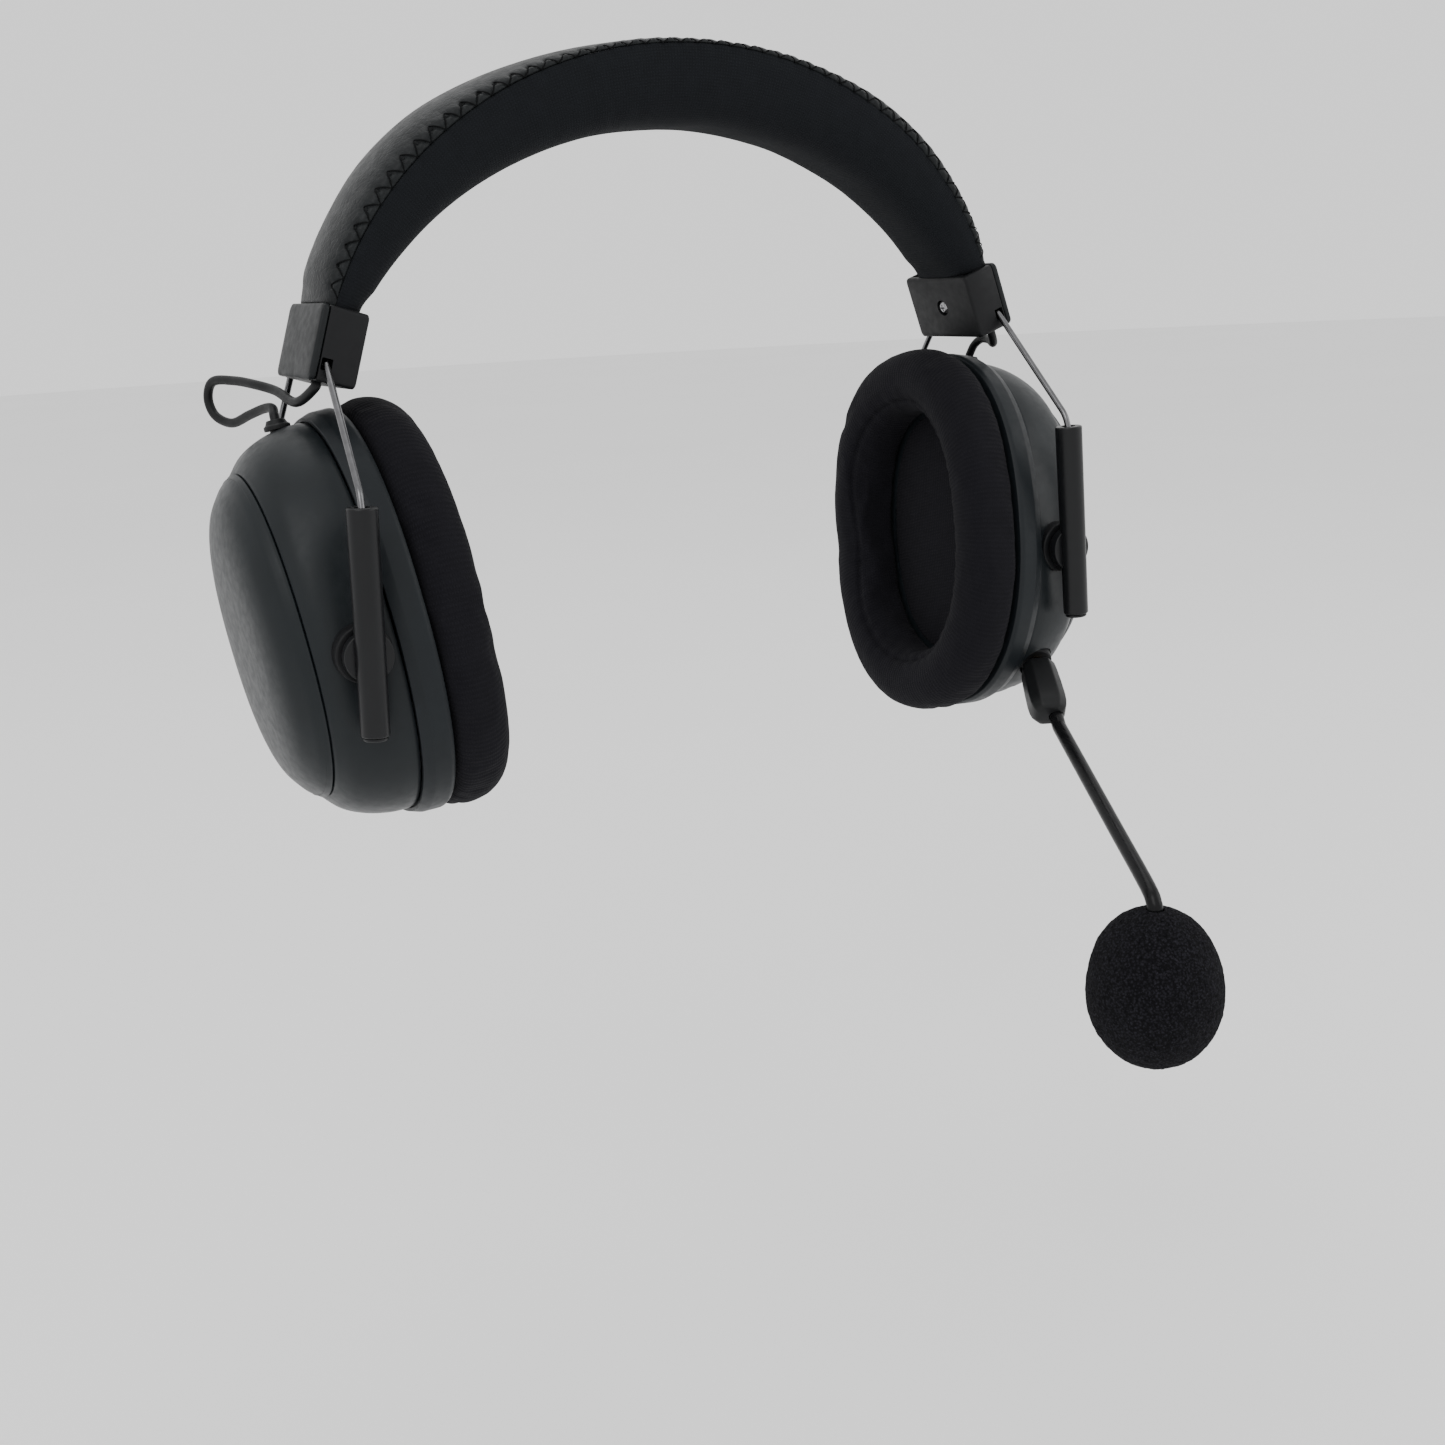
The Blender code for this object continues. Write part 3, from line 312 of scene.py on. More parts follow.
def leather(name, colour):
    """Soft coated leather: pebbled grain between fine creases."""
    finish = Finish(name, colour, 0.46, Sheen_Weight=0.03, Sheen_Roughness=0.5, Specular_IOR_Level=0.15)
    pebble, crease = finish.cells(0.95 * MM, "SMOOTH_F1", 0.3), finish.cells(1.7 * MM, "DISTANCE_TO_EDGE")
    # The creases between the pebbles are painted darker than their tops: painted shade in the grain's hollows.
    finish.shift(finish.noise(11 * MM), 0.22).shift(pebble, -0.22, 0.25, 0.75)
    finish.polish(finish.noise(3.1 * MM), 0.40, 0.54)
    finish.emboss(finish.noise(7 * MM, 2.0), 0.10 * MM).emboss(finish.band(crease, 0.0, 0.12), 0.03 * MM)
    return finish.emboss(pebble, 0.06 * MM, True).emboss(finish.noise(0.25 * MM), 0.012 * MM)


def knit(name, colour, course, wale, depth, ribs=0.0):
    """Knitted cloth on the piece's own UV map, in metres: courses across it and wales along it."""
    finish = Finish(
        name, colour, 0.96, coordinates="UV", Sheen_Weight=0.012, Sheen_Roughness=0.6, Specular_IOR_Level=0.10
    )
    along, across = finish.wave(course * MM, "X", 0.5), finish.wave(wale * MM, "Y", 0.4)
    loops = finish.combine(along, across)
    # The raised loops are painted lighter than the gaps between them: painted highlight on the loops and painted shade
    # between them.
    finish.shift(finish.noise(5 * MM, 3.0), 0.30).shift(loops, 0.55, 0.1, 0.9)
    fuzz = finish.noise(0.35 * MM, 3.0, 0.7)
    finish.shift(fuzz, -0.30, 0.45, 0.7)
    if ribs:
        finish.emboss(finish.wave(ribs * MM, "X", 0.3), depth * 0.9 * MM)
    return finish.emboss(loops, depth * MM).emboss(fuzz, 0.05 * MM)


def metal(name, colour, roughness, drawn=(0.2, 0.2, 6.0), **constants):
    """Metal with fine lines along its drawing direction."""
    finish = Finish(name, colour, roughness, 1.0, **constants)
    lines = finish.noise(tuple(s * MM for s in drawn), 2.0)
    finish.shift(finish.noise(2.5 * MM), -0.25).polish(lines, roughness * 0.75, roughness * 1.35)
    return finish.emboss(lines, 0.004 * MM)


def make_finishes():
    scene = bpy.context.scene
    band, fit, cup, mic = scene.headset_band, scene.headset_fittings, scene.headset_cups, scene.headset_microphone
    made = {
        "leather": leather("band_leather", band.leather),
        "pad_cloth": knit("pad_cloth", band.pad_cloth, 0.85, 0.75, 0.09),
        "thread": knit("edge_thread", band.thread, 0.5, 0.5, 0.03),
        "cap": moulded("cap_plate_plastic", fit.cap, 0.44, 0.35, 0.13),
        "cap_body": moulded("cap_body_plastic", fit.cap_body, 0.50),
        "tube": moulded("slider_plastic", fit.tube, 0.34, 0.4, 0.24),
        "wire": metal("spring_wire_steel", fit.wire, 0.20),
        "steel": metal("plated_steel", (0.42, 0.42, 0.43), 0.28),
        "cable": moulded("cable_jacket", fit.cable, 0.48, 0.5),
        "shell": moulded("cup_shell_plastic", cup.shell, 0.40, 0.4),
        "rim": moulded("cup_rim_plastic", cup.rim, 0.46, 0.4),
        "dark": moulded("dark_plastic", fit.cap_body, 0.55),
        "cushion": knit("cushion_cloth", cup.cushion, 1.1, 0.7, 0.06, 1.1),
        "scrim": knit("scrim_cloth", cup.cushion, 0.9, 0.9, 0.12),
        "plug": moulded("plug_plastic", mic.plug, 0.42),
    }
    boom = Finish("boom_sleeve", mic.boom, 0.30, Coat_Weight=0.03, Coat_Roughness=0.18, Specular_IOR_Level=0.14)
    streak = boom.noise((0.5 * MM, 7 * MM, 7 * MM), 3.0)
    made["boom"] = boom.shift(boom.noise(4 * MM), 0.5).polish(streak, 0.18, 0.38).emboss(streak, 0.02 * MM)
    foam = Finish("windscreen_foam", mic.foam, 1.0, Sheen_Weight=0.01, Sheen_Roughness=0.8, Specular_IOR_Level=0.06)
    pores, cells = foam.cells(0.75 * MM, "SMOOTH_F1", 0.2), foam.cells(0.42 * MM, "DISTANCE_TO_EDGE")
    # The foam's hollows, where the pores sink in, are painted much darker: painted shade in the sponge's pores.
    foam.shift(foam.noise(6 * MM), 0.35).shift(pores, -0.75, 0.15, 0.55)
    foam.shift(foam.noise(0.5 * MM, 2.0), 0.9, 0.55, 0.75)
    foam.emboss(pores, 0.30 * MM, True).emboss(foam.band(cells, 0.0, 0.2), 0.10 * MM)
    made["foam"] = foam
    gold = metal("plated_contact", (0.72, 0.53, 0.25), 0.24)
    made["gold"] = gold
    film = Finish("speaker_film", (0.16, 0.165, 0.17), 0.32, Coat_Weight=0.3)
    film.shift(film.wave(1.2 * MM, "Y"), -0.25).polish(film.noise(3 * MM), 0.26, 0.42)
    made["film"] = film.emboss(film.wave(1.2 * MM, "Y"), 0.05 * MM)
    cell = Finish("cell_wrap", (0.05, 0.052, 0.06), 0.34)
    cell.shift(cell.noise(4 * MM), 0.3).polish(cell.noise(2 * MM), 0.28, 0.44)
    made["cell"] = cell.emboss(cell.noise(6 * MM), 0.1 * MM)
    board = Finish("board_laminate", (0.012, 0.055, 0.026), 0.38, Coat_Weight=0.4)
    tracks = board.cells((6 * MM, 1.4 * MM, 2.2 * MM), "DISTANCE_TO_EDGE")
    board.tint(tracks, (0.02, 0.10, 0.045), 0.02, 0.05).tint(board.cells(2.6 * MM), (0.5, 0.42, 0.25), 0.10, 0.06)
    made["board"] = board.emboss(tracks, 0.03 * MM)
    return {label: finish.material for label, finish in made.items()}


FINISH = {}
# The frame's own solids that stay in view, and their finishes.
KEPT_NODES = {
    "steel": ["band_spring", "left_driver_magnet", "right_driver_magnet", "left_volume_encoder", "mic_capsule"],
    "dark": ["left_driver_basket", "right_driver_basket"],
    "film": ["left_driver_diaphragm", "right_driver_diaphragm"],
    "board": ["left_circuit_board"],
    "cell": ["right_battery"],
}


# ---------------------------------------------------------------- mesh making


def link(name, mesh, finish, smooth_angle=35):
    obj = bpy.data.objects.new(name, mesh)
    bpy.context.scene.collection.objects.link(obj)
    mesh.materials.clear()
    mesh.materials.append(FINISH[finish])
    mesh.shade_smooth()
    mesh.set_sharp_from_angle(angle=radians(smooth_angle))
    return obj


def face_out(mesh):
    bm = bmesh.new()
    bm.from_mesh(mesh)
    bmesh.ops.recalc_face_normals(bm, faces=bm.faces)
    bm.to_mesh(mesh)
    bm.free()
    return mesh


def running(points):
    """Distance run along points, from 0 at the first."""
    steps = np.linalg.norm(np.diff(np.asarray(points, float), axis=0), axis=1)
    return np.concatenate([[0.0], np.cumsum(steps)])


def skin(name, rows, closed=False, tips=(None, None)):
    """A closed surface through rings of points, with a UV map in metres.

    An open skin is capped at each end, at a tip if it has one.
    """
    rows = np.asarray(rows, float)
    n, m = rows.shape[:2]
    i, j = np.meshgrid(np.arange(n if closed else n - 1), np.arange(m), indexing="ij")
    i, j = i.ravel(), j.ravel()
    ahead, beside = (i + 1) % n, (j + 1) % m
    faces = np.stack([i * m + j, i * m + beside, ahead * m + beside, ahead * m + j], axis=1).tolist()
    points = rows.reshape(-1, 3).tolist()
    along = running(rows[:, 0])
    middle = rows[n // 2]
    across = running(np.vstack([middle, middle[:1]]))
    u = np.append(along, along[-1] + (along[-1] - along[-2]))
    corner_u = np.stack([u[i], u[i], u[i + 1], u[i + 1]], axis=1).ravel()
    corner_v = np.stack([across[j], across[j + 1], across[j + 1], across[j]], axis=1).ravel()
    uv = np.stack([corner_u, corner_v], axis=1)
    if not closed:
        for end, tip in zip((0, n - 1), tips):
            ring = [end * m + k for k in range(m)]
            if tip is None:
                faces.append(ring)
                uv = np.vstack([uv, rows[end][:, 1:]])
                continue
            points.append(list(tip))
            for k in range(m):
                faces.append([ring[k], ring[(k + 1) % m], len(points) - 1])
            flat = np.stack([rows[end], np.roll(rows[end], -1, axis=0), np.tile(tip, (m, 1))], axis=1)
            uv = np.vstack([uv, flat.reshape(-1, 3)[:, 1:]])
    mesh = bpy.data.meshes.new(name)
    mesh.from_pydata(points, [], faces)
    mesh.uv_layers.new(name="UVMap").data.foreach_set("uv", uv.astype(np.float32).ravel())
    return face_out(mesh)


def rounded(points, radius, steps=4):
    """The line with each inner corner turned on an arc. The radius is one number, or one for each point."""
    points = [Vector(p) for p in points]
    radii = radius if hasattr(radius, "__len__") else [radius] * len(points)
    found = [points[0]]
    for a, p, b, r in zip(points, points[1:], points[2:], radii[1:]):
        back, on = (a - p), (b - p)
        half = back.angle(on, pi) / 2
        cut = min(r / max(sin(half) / max(cos(half), 1e-6), 1e-6), 0.48 * back.length, 0.48 * on.length)
        if cut < 1e-6 or half > radians(89.5):
            found.append(p)
            continue
        start, end = p + back.normalized() * cut, p + on.normalized() * cut
        for k in range(steps + 1):
            t = k / steps
            found.append(start * (1 - t) ** 2 + p * 2 * t * (1 - t) + end * t**2)
    return [*found, points[-1]]


def turned(name, profile, place, segments=48, closed=False, steps=4):
    """A solid of revolution about the place's Z. The profile is (radius, height) or (radius, height, fillet)."""
    radii = [(p[2] if len(p) > 2 else 0.0) for p in profile]
    line = [Vector((p[0], 0, p[1])) for p in profile]
    if closed:
        # It starts and ends half-way along its first side, so that every corner is turned.
        middle = (line[0] + line[1]) / 2
        line, radii = [middle, *line[1:], line[0], middle], [0.0, *radii[1:], radii[0], 0.0]
    path = rounded(line, radii, steps)
    path = path[:-1] if closed else path
    turn = [(cos(2 * pi * k / segments), sin(2 * pi * k / segments)) for k in range(segments)]
    tips = [None, None]
    if not closed:
        for end in (0, -1):
            if path[end].x < 1e-9:
                tips[end] = place @ path[end]
        path = path[1 if tips[0] else 0 : -1 if tips[1] else None]
    rows = [[place @ Vector((p.x * c, p.x * s, p.z)) for c, s in turn] for p in path]
    return skin(name, rows, closed, tips)


def drill(radius, top, bottom, place=Matrix.Identity(4), segments=32):
    """A cylinder about the place's Z, for a round hole. Sizes are in millimetres."""
    return turned("hole", mm((0, top), (radius, top), (radius, bottom), (0, bottom)), place, segments)


def frames_along(path):
    """Two directions square to the path at each of its points, carried along without twist."""
    path = [Vector(p) for p in path]
    tangents = [(b - a).normalized() for a, b in zip(path, path[1:])]
    tangents = [tangents[0]] + [(a + b).normalized() for a, b in zip(tangents, tangents[1:])] + [tangents[-1]]
    side = tangents[0].orthogonal().normalized()
    found = []
    for before, tangent in zip([tangents[0], *tangents], tangents):
        side = (before.rotation_difference(tangent) @ side).normalized()
        side = (side - tangent * side.dot(tangent)).normalized()
        found.append((side, tangent.cross(side)))
    return found


def tube(name, path, radius, sides=16, bulge=0.35):
    """A round rod along a path, with softly domed ends."""
    path = [Vector(p) for p in path]
    radii = list(radius) if hasattr(radius, "__len__") else [radius] * len(path)
    start, end = (path[0] - path[1]).normalized(), (path[-1] - path[-2]).normalized()
    rows = []
    for p, r, (a, b) in zip(path, radii, frames_along(path)):
        rows.append([p + (a * cos(2 * pi * k / sides) + b * sin(2 * pi * k / sides)) * r for k in range(sides)])
    return skin(name, rows, tips=(path[0] + start * radii[0] * bulge, path[-1] + end * radii[-1] * bulge))


def smooth_path(points, per_span):
    """Points on a Catmull-Rom curve through the given ones."""
    ends = [2 * points[0] - points[1], *points, 2 * points[-1] - points[-2]]
    found = []
    for a, b, c, d in zip(ends, ends[1:], ends[2:], ends[3:]):
        for k in range(per_span):
            t = k / per_span
            found.append(
                0.5 * (2 * b + (c - a) * t + (2 * a - 5 * b + 4 * c - d) * t**2 + (3 * b - a - 3 * c + d) * t**3)
            )
    return [*found, points[-1]]


def joined(name, meshes):
    """Several meshes as one, each shell kept whole."""
    bm = bmesh.new()
    for mesh in meshes:
        bm.from_mesh(mesh)
        bpy.data.meshes.remove(mesh)
    made = bpy.data.meshes.new(name)
    bm.to_mesh(made)
    bm.free()
    return made


def carve(mesh, cutters, operation="DIFFERENCE"):
    """The mesh with closed cutters taken out of it, or added to it."""
    body = bpy.data.objects.new(mesh.name, mesh)
    bpy.context.scene.collection.objects.link(body)
    helpers = []
    for cutter in cutters:
        helper = bpy.data.objects.new("cutter", cutter)
        bpy.context.scene.collection.objects.link(helper)
        modifier = body.modifiers.new("cut", "BOOLEAN")
        modifier.operation, modifier.solver, modifier.object = operation, "EXACT", helper
        helpers.append(helper)
    made = plain(body)
    for helper in helpers:
        bpy.data.objects.remove(helper)
    bpy.data.objects.remove(body)
    return made


def plain(obj):
    """The object's shown mesh, with its modifiers in it."""
    bpy.context.view_layer.update()
    graph = bpy.context.evaluated_depsgraph_get()
    return bpy.data.meshes.new_from_object(obj.evaluated_get(graph), depsgraph=graph)


def mirror(obj, name):
    """A copy of a left piece for the right side."""
    mesh = obj.data.copy()
    mesh.name = name
    mesh.transform(Matrix.Diagonal((-1, 1, 1, 1)))
    mesh.flip_normals()
    copy = bpy.data.objects.new(name, mesh)
    bpy.context.scene.collection.objects.link(copy)
    return copy


def block(size, bevel, segments=4):
    """A box with rounded edges."""
    bm = bmesh.new()
    bmesh.ops.create_cube(bm, size=1.0, matrix=Matrix.Diagonal((*size, 1.0)))
    bmesh.ops.bevel(bm, geom=list(bm.edges), offset=bevel, segments=segments, affect="EDGES", profile=0.5)
    mesh = bpy.data.meshes.new("block")
    bm.to_mesh(mesh)
    bm.free()
    return mesh


def moved(mesh, matrix):
    mesh.transform(matrix)
    return mesh


def aim(direction, centre=(0, 0, 0)):
    turn = Vector(direction).to_track_quat("Z", "Y").to_matrix().to_4x4()
    return Matrix.Translation(centre) @ turn


def aim_flat(direction, centre):
    """Like aim, with the X axis kept along the cup's X."""
    across = direction.cross(Vector((1, 0, 0))).normalized()
    turn = Matrix((Vector((1, 0, 0)), across, direction)).transposed().to_4x4()
    return Matrix.Translation(centre) @ turn


def settle(obj, body, slot, *nodes):
    """The piece rides on its body and stands for its solids, which it hides; the slot is not used."""
    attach(obj, body)
    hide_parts(*nodes)
    return obj


def settle_both(obj, body, slot, *nodes):
    """The same for a left piece and its mirrored copy. Names start with left_."""
    other = mirror(obj, obj.name.replace("left_", "right_"))
    settle(obj, f"left_{body}" if body != "headband" else body, slot, *[f"left_{n}" for n in nodes])
    settle(other, f"right_{body}" if body != "headband" else body, slot, *[f"right_{n}" for n in nodes])
    return obj, other


def node_tree(name, sockets):
    """A geometry tree with its named inputs, and its first and last nodes."""
    tree = bpy.data.node_groups.new(name, "GeometryNodeTree")
    tree.interface.new_socket(name="Geometry", in_out="INPUT", socket_type="NodeSocketGeometry")
    for label, kind in sockets:
        tree.interface.new_socket(name=label, in_out="INPUT", socket_type=f"NodeSocket{kind}")
    tree.interface.new_socket(name="Geometry", in_out="OUTPUT", socket_type="NodeSocketGeometry")
    return tree, tree.nodes.new("NodeGroupInput"), tree.nodes.new("NodeGroupOutput")


def add_node(tree, kind, inputs=(), **settings):
    made = tree.nodes.new(kind)
    for key, value in settings.items():
        setattr(made, key, value)
    for socket, value in inputs:
        if isinstance(value, bpy.types.NodeSocket):
            tree.links.new(value, made.inputs[socket])
        else:
            made.inputs[socket].default_value = value
    return made


def grow(obj, tree, values):
    """The mesh that a geometry tree makes from an object, whose own mesh is then done with."""
    modifier = obj.modifiers.new(tree.name, "NODES")
    modifier.node_group = tree
    for item in tree.interface.items_tree:
        if item.item_type == "SOCKET" and item.in_out == "INPUT" and item.name in values:
            modifier[item.identifier] = values[item.name]
    made = plain(obj)
    bpy.data.objects.remove(obj)
    return made


# ---------------------------------------------------------------- frames of the parts


def cap_frame():
    """The left cap's frame: its top face centre, with -Z down along the band's lean and X away from the head."""
    start = arch_point(CAP_START) - arch_outward(CAP_START) * CAP_OFFSET
    return Matrix.Translation(start) @ Matrix.Rotation(-CAP_LEAN, 4, "Y")


def yoke_frame():
    return Matrix.Translation(PIVOT) @ Matrix.Rotation(-TUBE_SPLAY, 4, "Y")


def ear_frame():
    return Matrix.Translation(PIVOT) @ Matrix.Rotation(CUP_TILT, 4, "Y")


def cup_frame():
    return ear_frame() @ Matrix.Rotation(CUP_RAKE, 4, "X")


def boom_frame():
    """The plug's frame, moved outward to the boom's own line."""
    outward = (Vector((1, 0, 0)) - PLUG_DIRECTION * PLUG_DIRECTION.x).normalized()
    return aim(PLUG_DIRECTION, SOCKET_MOUTH + outward * BOOM_OFFSET)


def outline(half_length, half_height, depth, power=OUTLINE_POWER, count=128):
    """A rounded oval in the cup's frame, at a depth outward from the cushion's back."""
    angle = 2 * pi * (np.arange(count) + 0.5) / count
    y, z = np.cos(angle), np.sin(angle)
    reach = (np.abs(y) ** power + np.abs(z) ** power) ** (-1 / power)
    return np.stack([np.full(count, depth), half_length * y * reach, half_height * z * reach], axis=1) + CUP_CENTRE


def cup_skin(name, sections, closed=True, tips=(None, None), shape=None, count=128, power=OUTLINE_POWER):
    """A skin through ovals, carried from the cup's frame to its place. The shape changes the points first."""
    rows = np.array([outline(*s, count=count, power=power) for s in sections])
    if shape:
        rows = shape(rows)
    place = np.array(cup_frame())
    rows = rows @ place[:3, :3].T + place[:3, 3]
    tips = [None if t is None else list(cup_frame() @ (CUP_CENTRE + Vector((t, 0, 0)))) for t in tips]
    return skin(name, rows, closed, tips)


def inset(sections, wall):
    return [(s[0] - wall, s[1] - wall, s[2]) for s in sections]


def wall_place(place):
    """A point on the housing's outer wall and the wall's outward normal, in the left cup's frame."""
    angle, depth = place
    lower = max((s for s in HOUSING if s[2] <= depth), key=lambda s: s[2])
    upper = min((s for s in HOUSING if s[2] > depth), key=lambda s: s[2])
    share = (depth - lower[2]) / (upper[2] - lower[2])
    length = lower[0] + (upper[0] - lower[0]) * share
    height = lower[1] + (upper[1] - lower[1]) * share
    y, z = cos(angle), sin(angle)
    reach = (abs(y) ** OUTLINE_POWER + abs(z) ** OUTLINE_POWER) ** (-1 / OUTLINE_POWER)
    point = CUP_CENTRE + Vector((depth, length * y * reach, height * z * reach))
    normal = Vector((0, (point - CUP_CENTRE).y / length**2, (point - CUP_CENTRE).z / height**2)).normalized()
    return point, normal


def wall_frame(place):
    point, normal = wall_place(place)
    return cup_frame() @ aim(normal, point)


# ---------------------------------------------------------------- headband


def arch_point(angle):
    return Vector((ARCH_HALF_SPAN * cos(angle), 0, ARCH_BASE_Z + ARCH_RISE * sin(angle)))


def arch_outward(angle):
    """The direction square to the arch, away from the head."""
    return Vector((ARCH_RISE * cos(angle), 0, ARCH_HALF_SPAN * sin(angle))).normalized()


class Band:
    """Stations along the arch by distance run, and the band's section at each."""

    def __init__(self):
        self.angles = np.linspace(radians(8), pi - radians(8), 3001)
        points = np.array([arch_point(a) for a in self.angles])
        run = running(points)
        self.run = run - np.interp(CAP_START, self.angles, run)
        self.length = float(np.interp(pi - CAP_START, self.angles, self.run))

    def angle(self, run):
        return float(np.interp(run, self.run, self.angles))

    def pinch(self, run):
        """0 where the band meets a cap, and 1 where it has its full section."""
        t = min(1.0, max(0.0, min(run, self.length - run) / (8 * MM)))
        return t * t * (3 - 2 * t)

    def inside(self, run):
        """0 above the cap's top, and 1 where the band is tucked into it."""
        return min(1.0, max(0.0, (0.2 * MM - min(run, self.length - run)) / (0.8 * MM)))

    def end_share(self, angle):
        return (1 - sin(angle)) / (1 - sin(CAP_START))

    def half_width(self, run):
        share = self.end_share(self.angle(run)) ** 2
        return BAND_HALF_WIDTH * (1 - share) + BAND_END_HALF_WIDTH * share - 0.25 * MM * self.inside(run)

    def rise(self, run):
        angle = self.angle(run)
        fold = min(angle, pi - angle)
        shoulder = np.exp(-(((fold - radians(46)) / radians(17)) ** 2))
        crown = np.exp(-(((fold - radians(90)) / radians(20)) ** 2))
        full = COVER_RISE * (0.75 + 0.35 * self.end_share(angle)) + (2.3 * shoulder - 1.1 * crown) * MM
        fit = (3.0 - 1.35 * self.inside(run)) * MM
        return fit + (full - fit) * self.pinch(run)

    def pad_depth(self, run):
        full = PAD_DEPTH * sin(self.angle(run)) ** 0.7
        fit = (7.9 - 1.5 * self.inside(run)) * MM
        return fit + (full - fit) * self.pinch(run)

    def place(self, run, y, out):
        angle = self.angle(run)
        middle, outward = np.array(arch_point(angle)), np.array(arch_outward(angle))
        return middle[None, :] + np.outer(out, outward) + np.outer(y, (0, 1, 0))


# The cover's section: powers of the cosine across it and of the sine above it.
COVER_FLAT, COVER_FULL = 0.9, 0.82
HOLE_REACH = 2.7 * MM  # from the seam to the stitches' holes


def section_normals(y, out):
    dy, dr = np.gradient(y), np.gradient(out)
    size = np.maximum(np.hypot(dy, dr), 1e-12)
    return dr / size, -dy / size


def stitch_chance(index):
    """A fixed small variation from stitch to stitch."""
    return 0.8 + 0.4 * (np.sin(index * 12.9898 + 3.1) * 43758.5453 % 1.0)


def cover_relief(run, reach, pitch, height):
    """How far the leather stands out near a seam, at a distance run along it and a reach from it."""
    index = np.round(run / pitch)
    along, from_hole = run - index * pitch, reach - HOLE_REACH
    between = np.abs(along) - pitch / 2
    lump = 0.95 * np.exp(-((along / (1.15 * MM)) ** 2) - ((reach - 1.25 * MM) / (0.85 * MM)) ** 2)
    lump += 0.45 * np.exp(-((between / (0.95 * MM)) ** 2) - ((reach - 3.0 * MM) / (1.3 * MM)) ** 2)
    hole = -1.5 * np.exp(-(along**2 + from_hole**2) / (0.62 * MM) ** 2)
    arm = (np.abs(along) / (pitch / 2) + reach / HOLE_REACH - 1) * 1.8 * MM
    groove = -0.55 * np.exp(-((arm / (0.38 * MM)) ** 2)) * (reach < 3.0 * MM)
    fading = np.exp(-np.maximum(from_hole, 0) / (2.6 * MM)) * (from_hole > 0)
    pleat = -0.40 * np.exp(-((along / (0.75 * MM)) ** 2)) * fading
    roll = -0.9 * np.exp(-((reach / (0.30 * MM)) ** 2))
    return height * stitch_chance(index) * (lump + hole + groove + pleat + roll)


def section_steps(count, crowd=0.7):
    t = np.linspace(0, 1, count)
    return pi * (t - crowd * np.sin(2 * pi * t) / (2 * pi))


def cover_section(band, run, count):
    half, rise = band.half_width(run), band.rise(run)
    a = section_steps(count)
    y = half * np.sign(np.cos(a)) * np.abs(np.cos(a)) ** COVER_FLAT
    return y, rise * np.sin(a) ** COVER_FULL


def near_seam(y, out):
    run = running(np.stack([y, out], axis=1))
    return np.minimum(run, run[-1] - run)


def make_cover(band, settings):
    pitch, rows, count = settings.stitch_pitch, [], 72
    for run in np.arange(-1.4 * MM, band.length + 1.4 * MM, 0.5 * MM):
        y, out = cover_section(band, run, count)
        inner_y, inner_out = y * (1 - 0.9 * MM / band.half_width(run)), np.maximum(out - 0.9 * MM, 0.06 * MM)
        ny, nr = section_normals(y, out)
        fade = band.pinch(run)
        relief = cover_relief(run, near_seam(y, out), pitch, settings.pucker) * min(1.0, 0.35 + fade)
        sway = np.array([noise.noise(Vector((run / (16 * MM), v / (11 * MM), 2.0))) for v in y]) * 0.22 * MM
        relief = relief + sway * fade
        ring = band.place(run, y + ny * relief, out + nr * relief)
        under = band.place(run, inner_y[::-3], inner_out[::-3])
        rows.append(np.vstack([ring, under]))
    return skin("band_leather_cover", rows)


def pad_section(band, run, count):
    half, depth = band.half_width(run), band.pad_depth(run)
    a = section_steps(count, 0.35)
    y = half * np.sign(np.cos(a)) * np.abs(np.cos(a)) ** 0.62
    return y, -0.12 * MM - depth * np.sin(a) ** 0.75


def make_pad(band, settings):
    pitch, rows, count = settings.stitch_pitch, [], 72
    for run in np.arange(-1.4 * MM, band.length + 1.4 * MM, 0.6 * MM):
        y, out = pad_section(band, run, count)
        ny, nr = section_normals(y, out)
        reach = near_seam(y, out)
        index = np.floor(run / pitch)
        along = run - (index + 0.5) * pitch
        tuck = -0.30 * np.exp(-((along / (0.9 * MM)) ** 2) - (reach / (1.6 * MM)) ** 2) * stitch_chance(index)
        tuck = tuck + 0.12 * np.exp(-((reach - 3.2 * MM) / (2.2 * MM)) ** 2)
        crown = np.exp(-(((band.angle(run) - pi / 2) / radians(38)) ** 2))
        crease = [noise.noise(Vector((run / (4.2 * MM), v / (20 * MM), 7.0))) for v in y]
        sway = [noise.noise(Vector((run / (19 * MM), v / (14 * MM), 5.0))) for v in y]
        lean = np.exp(-(((np.abs(y) - 0.80 * band.half_width(run)) / (4.5 * MM)) ** 2))
        relief = (tuck - 0.20 * np.array(crease) * crown * lean + 0.30 * np.array(sway)) * MM * band.pinch(run)
        ring = band.place(run, y - ny * relief, out - nr * relief)
        flat = band.place(run, y[-5:0:-6], np.full(len(y[-5:0:-6]), -0.10 * MM))
        rows.append(np.vstack([ring, flat]))
    return skin("band_knit_pad", rows)


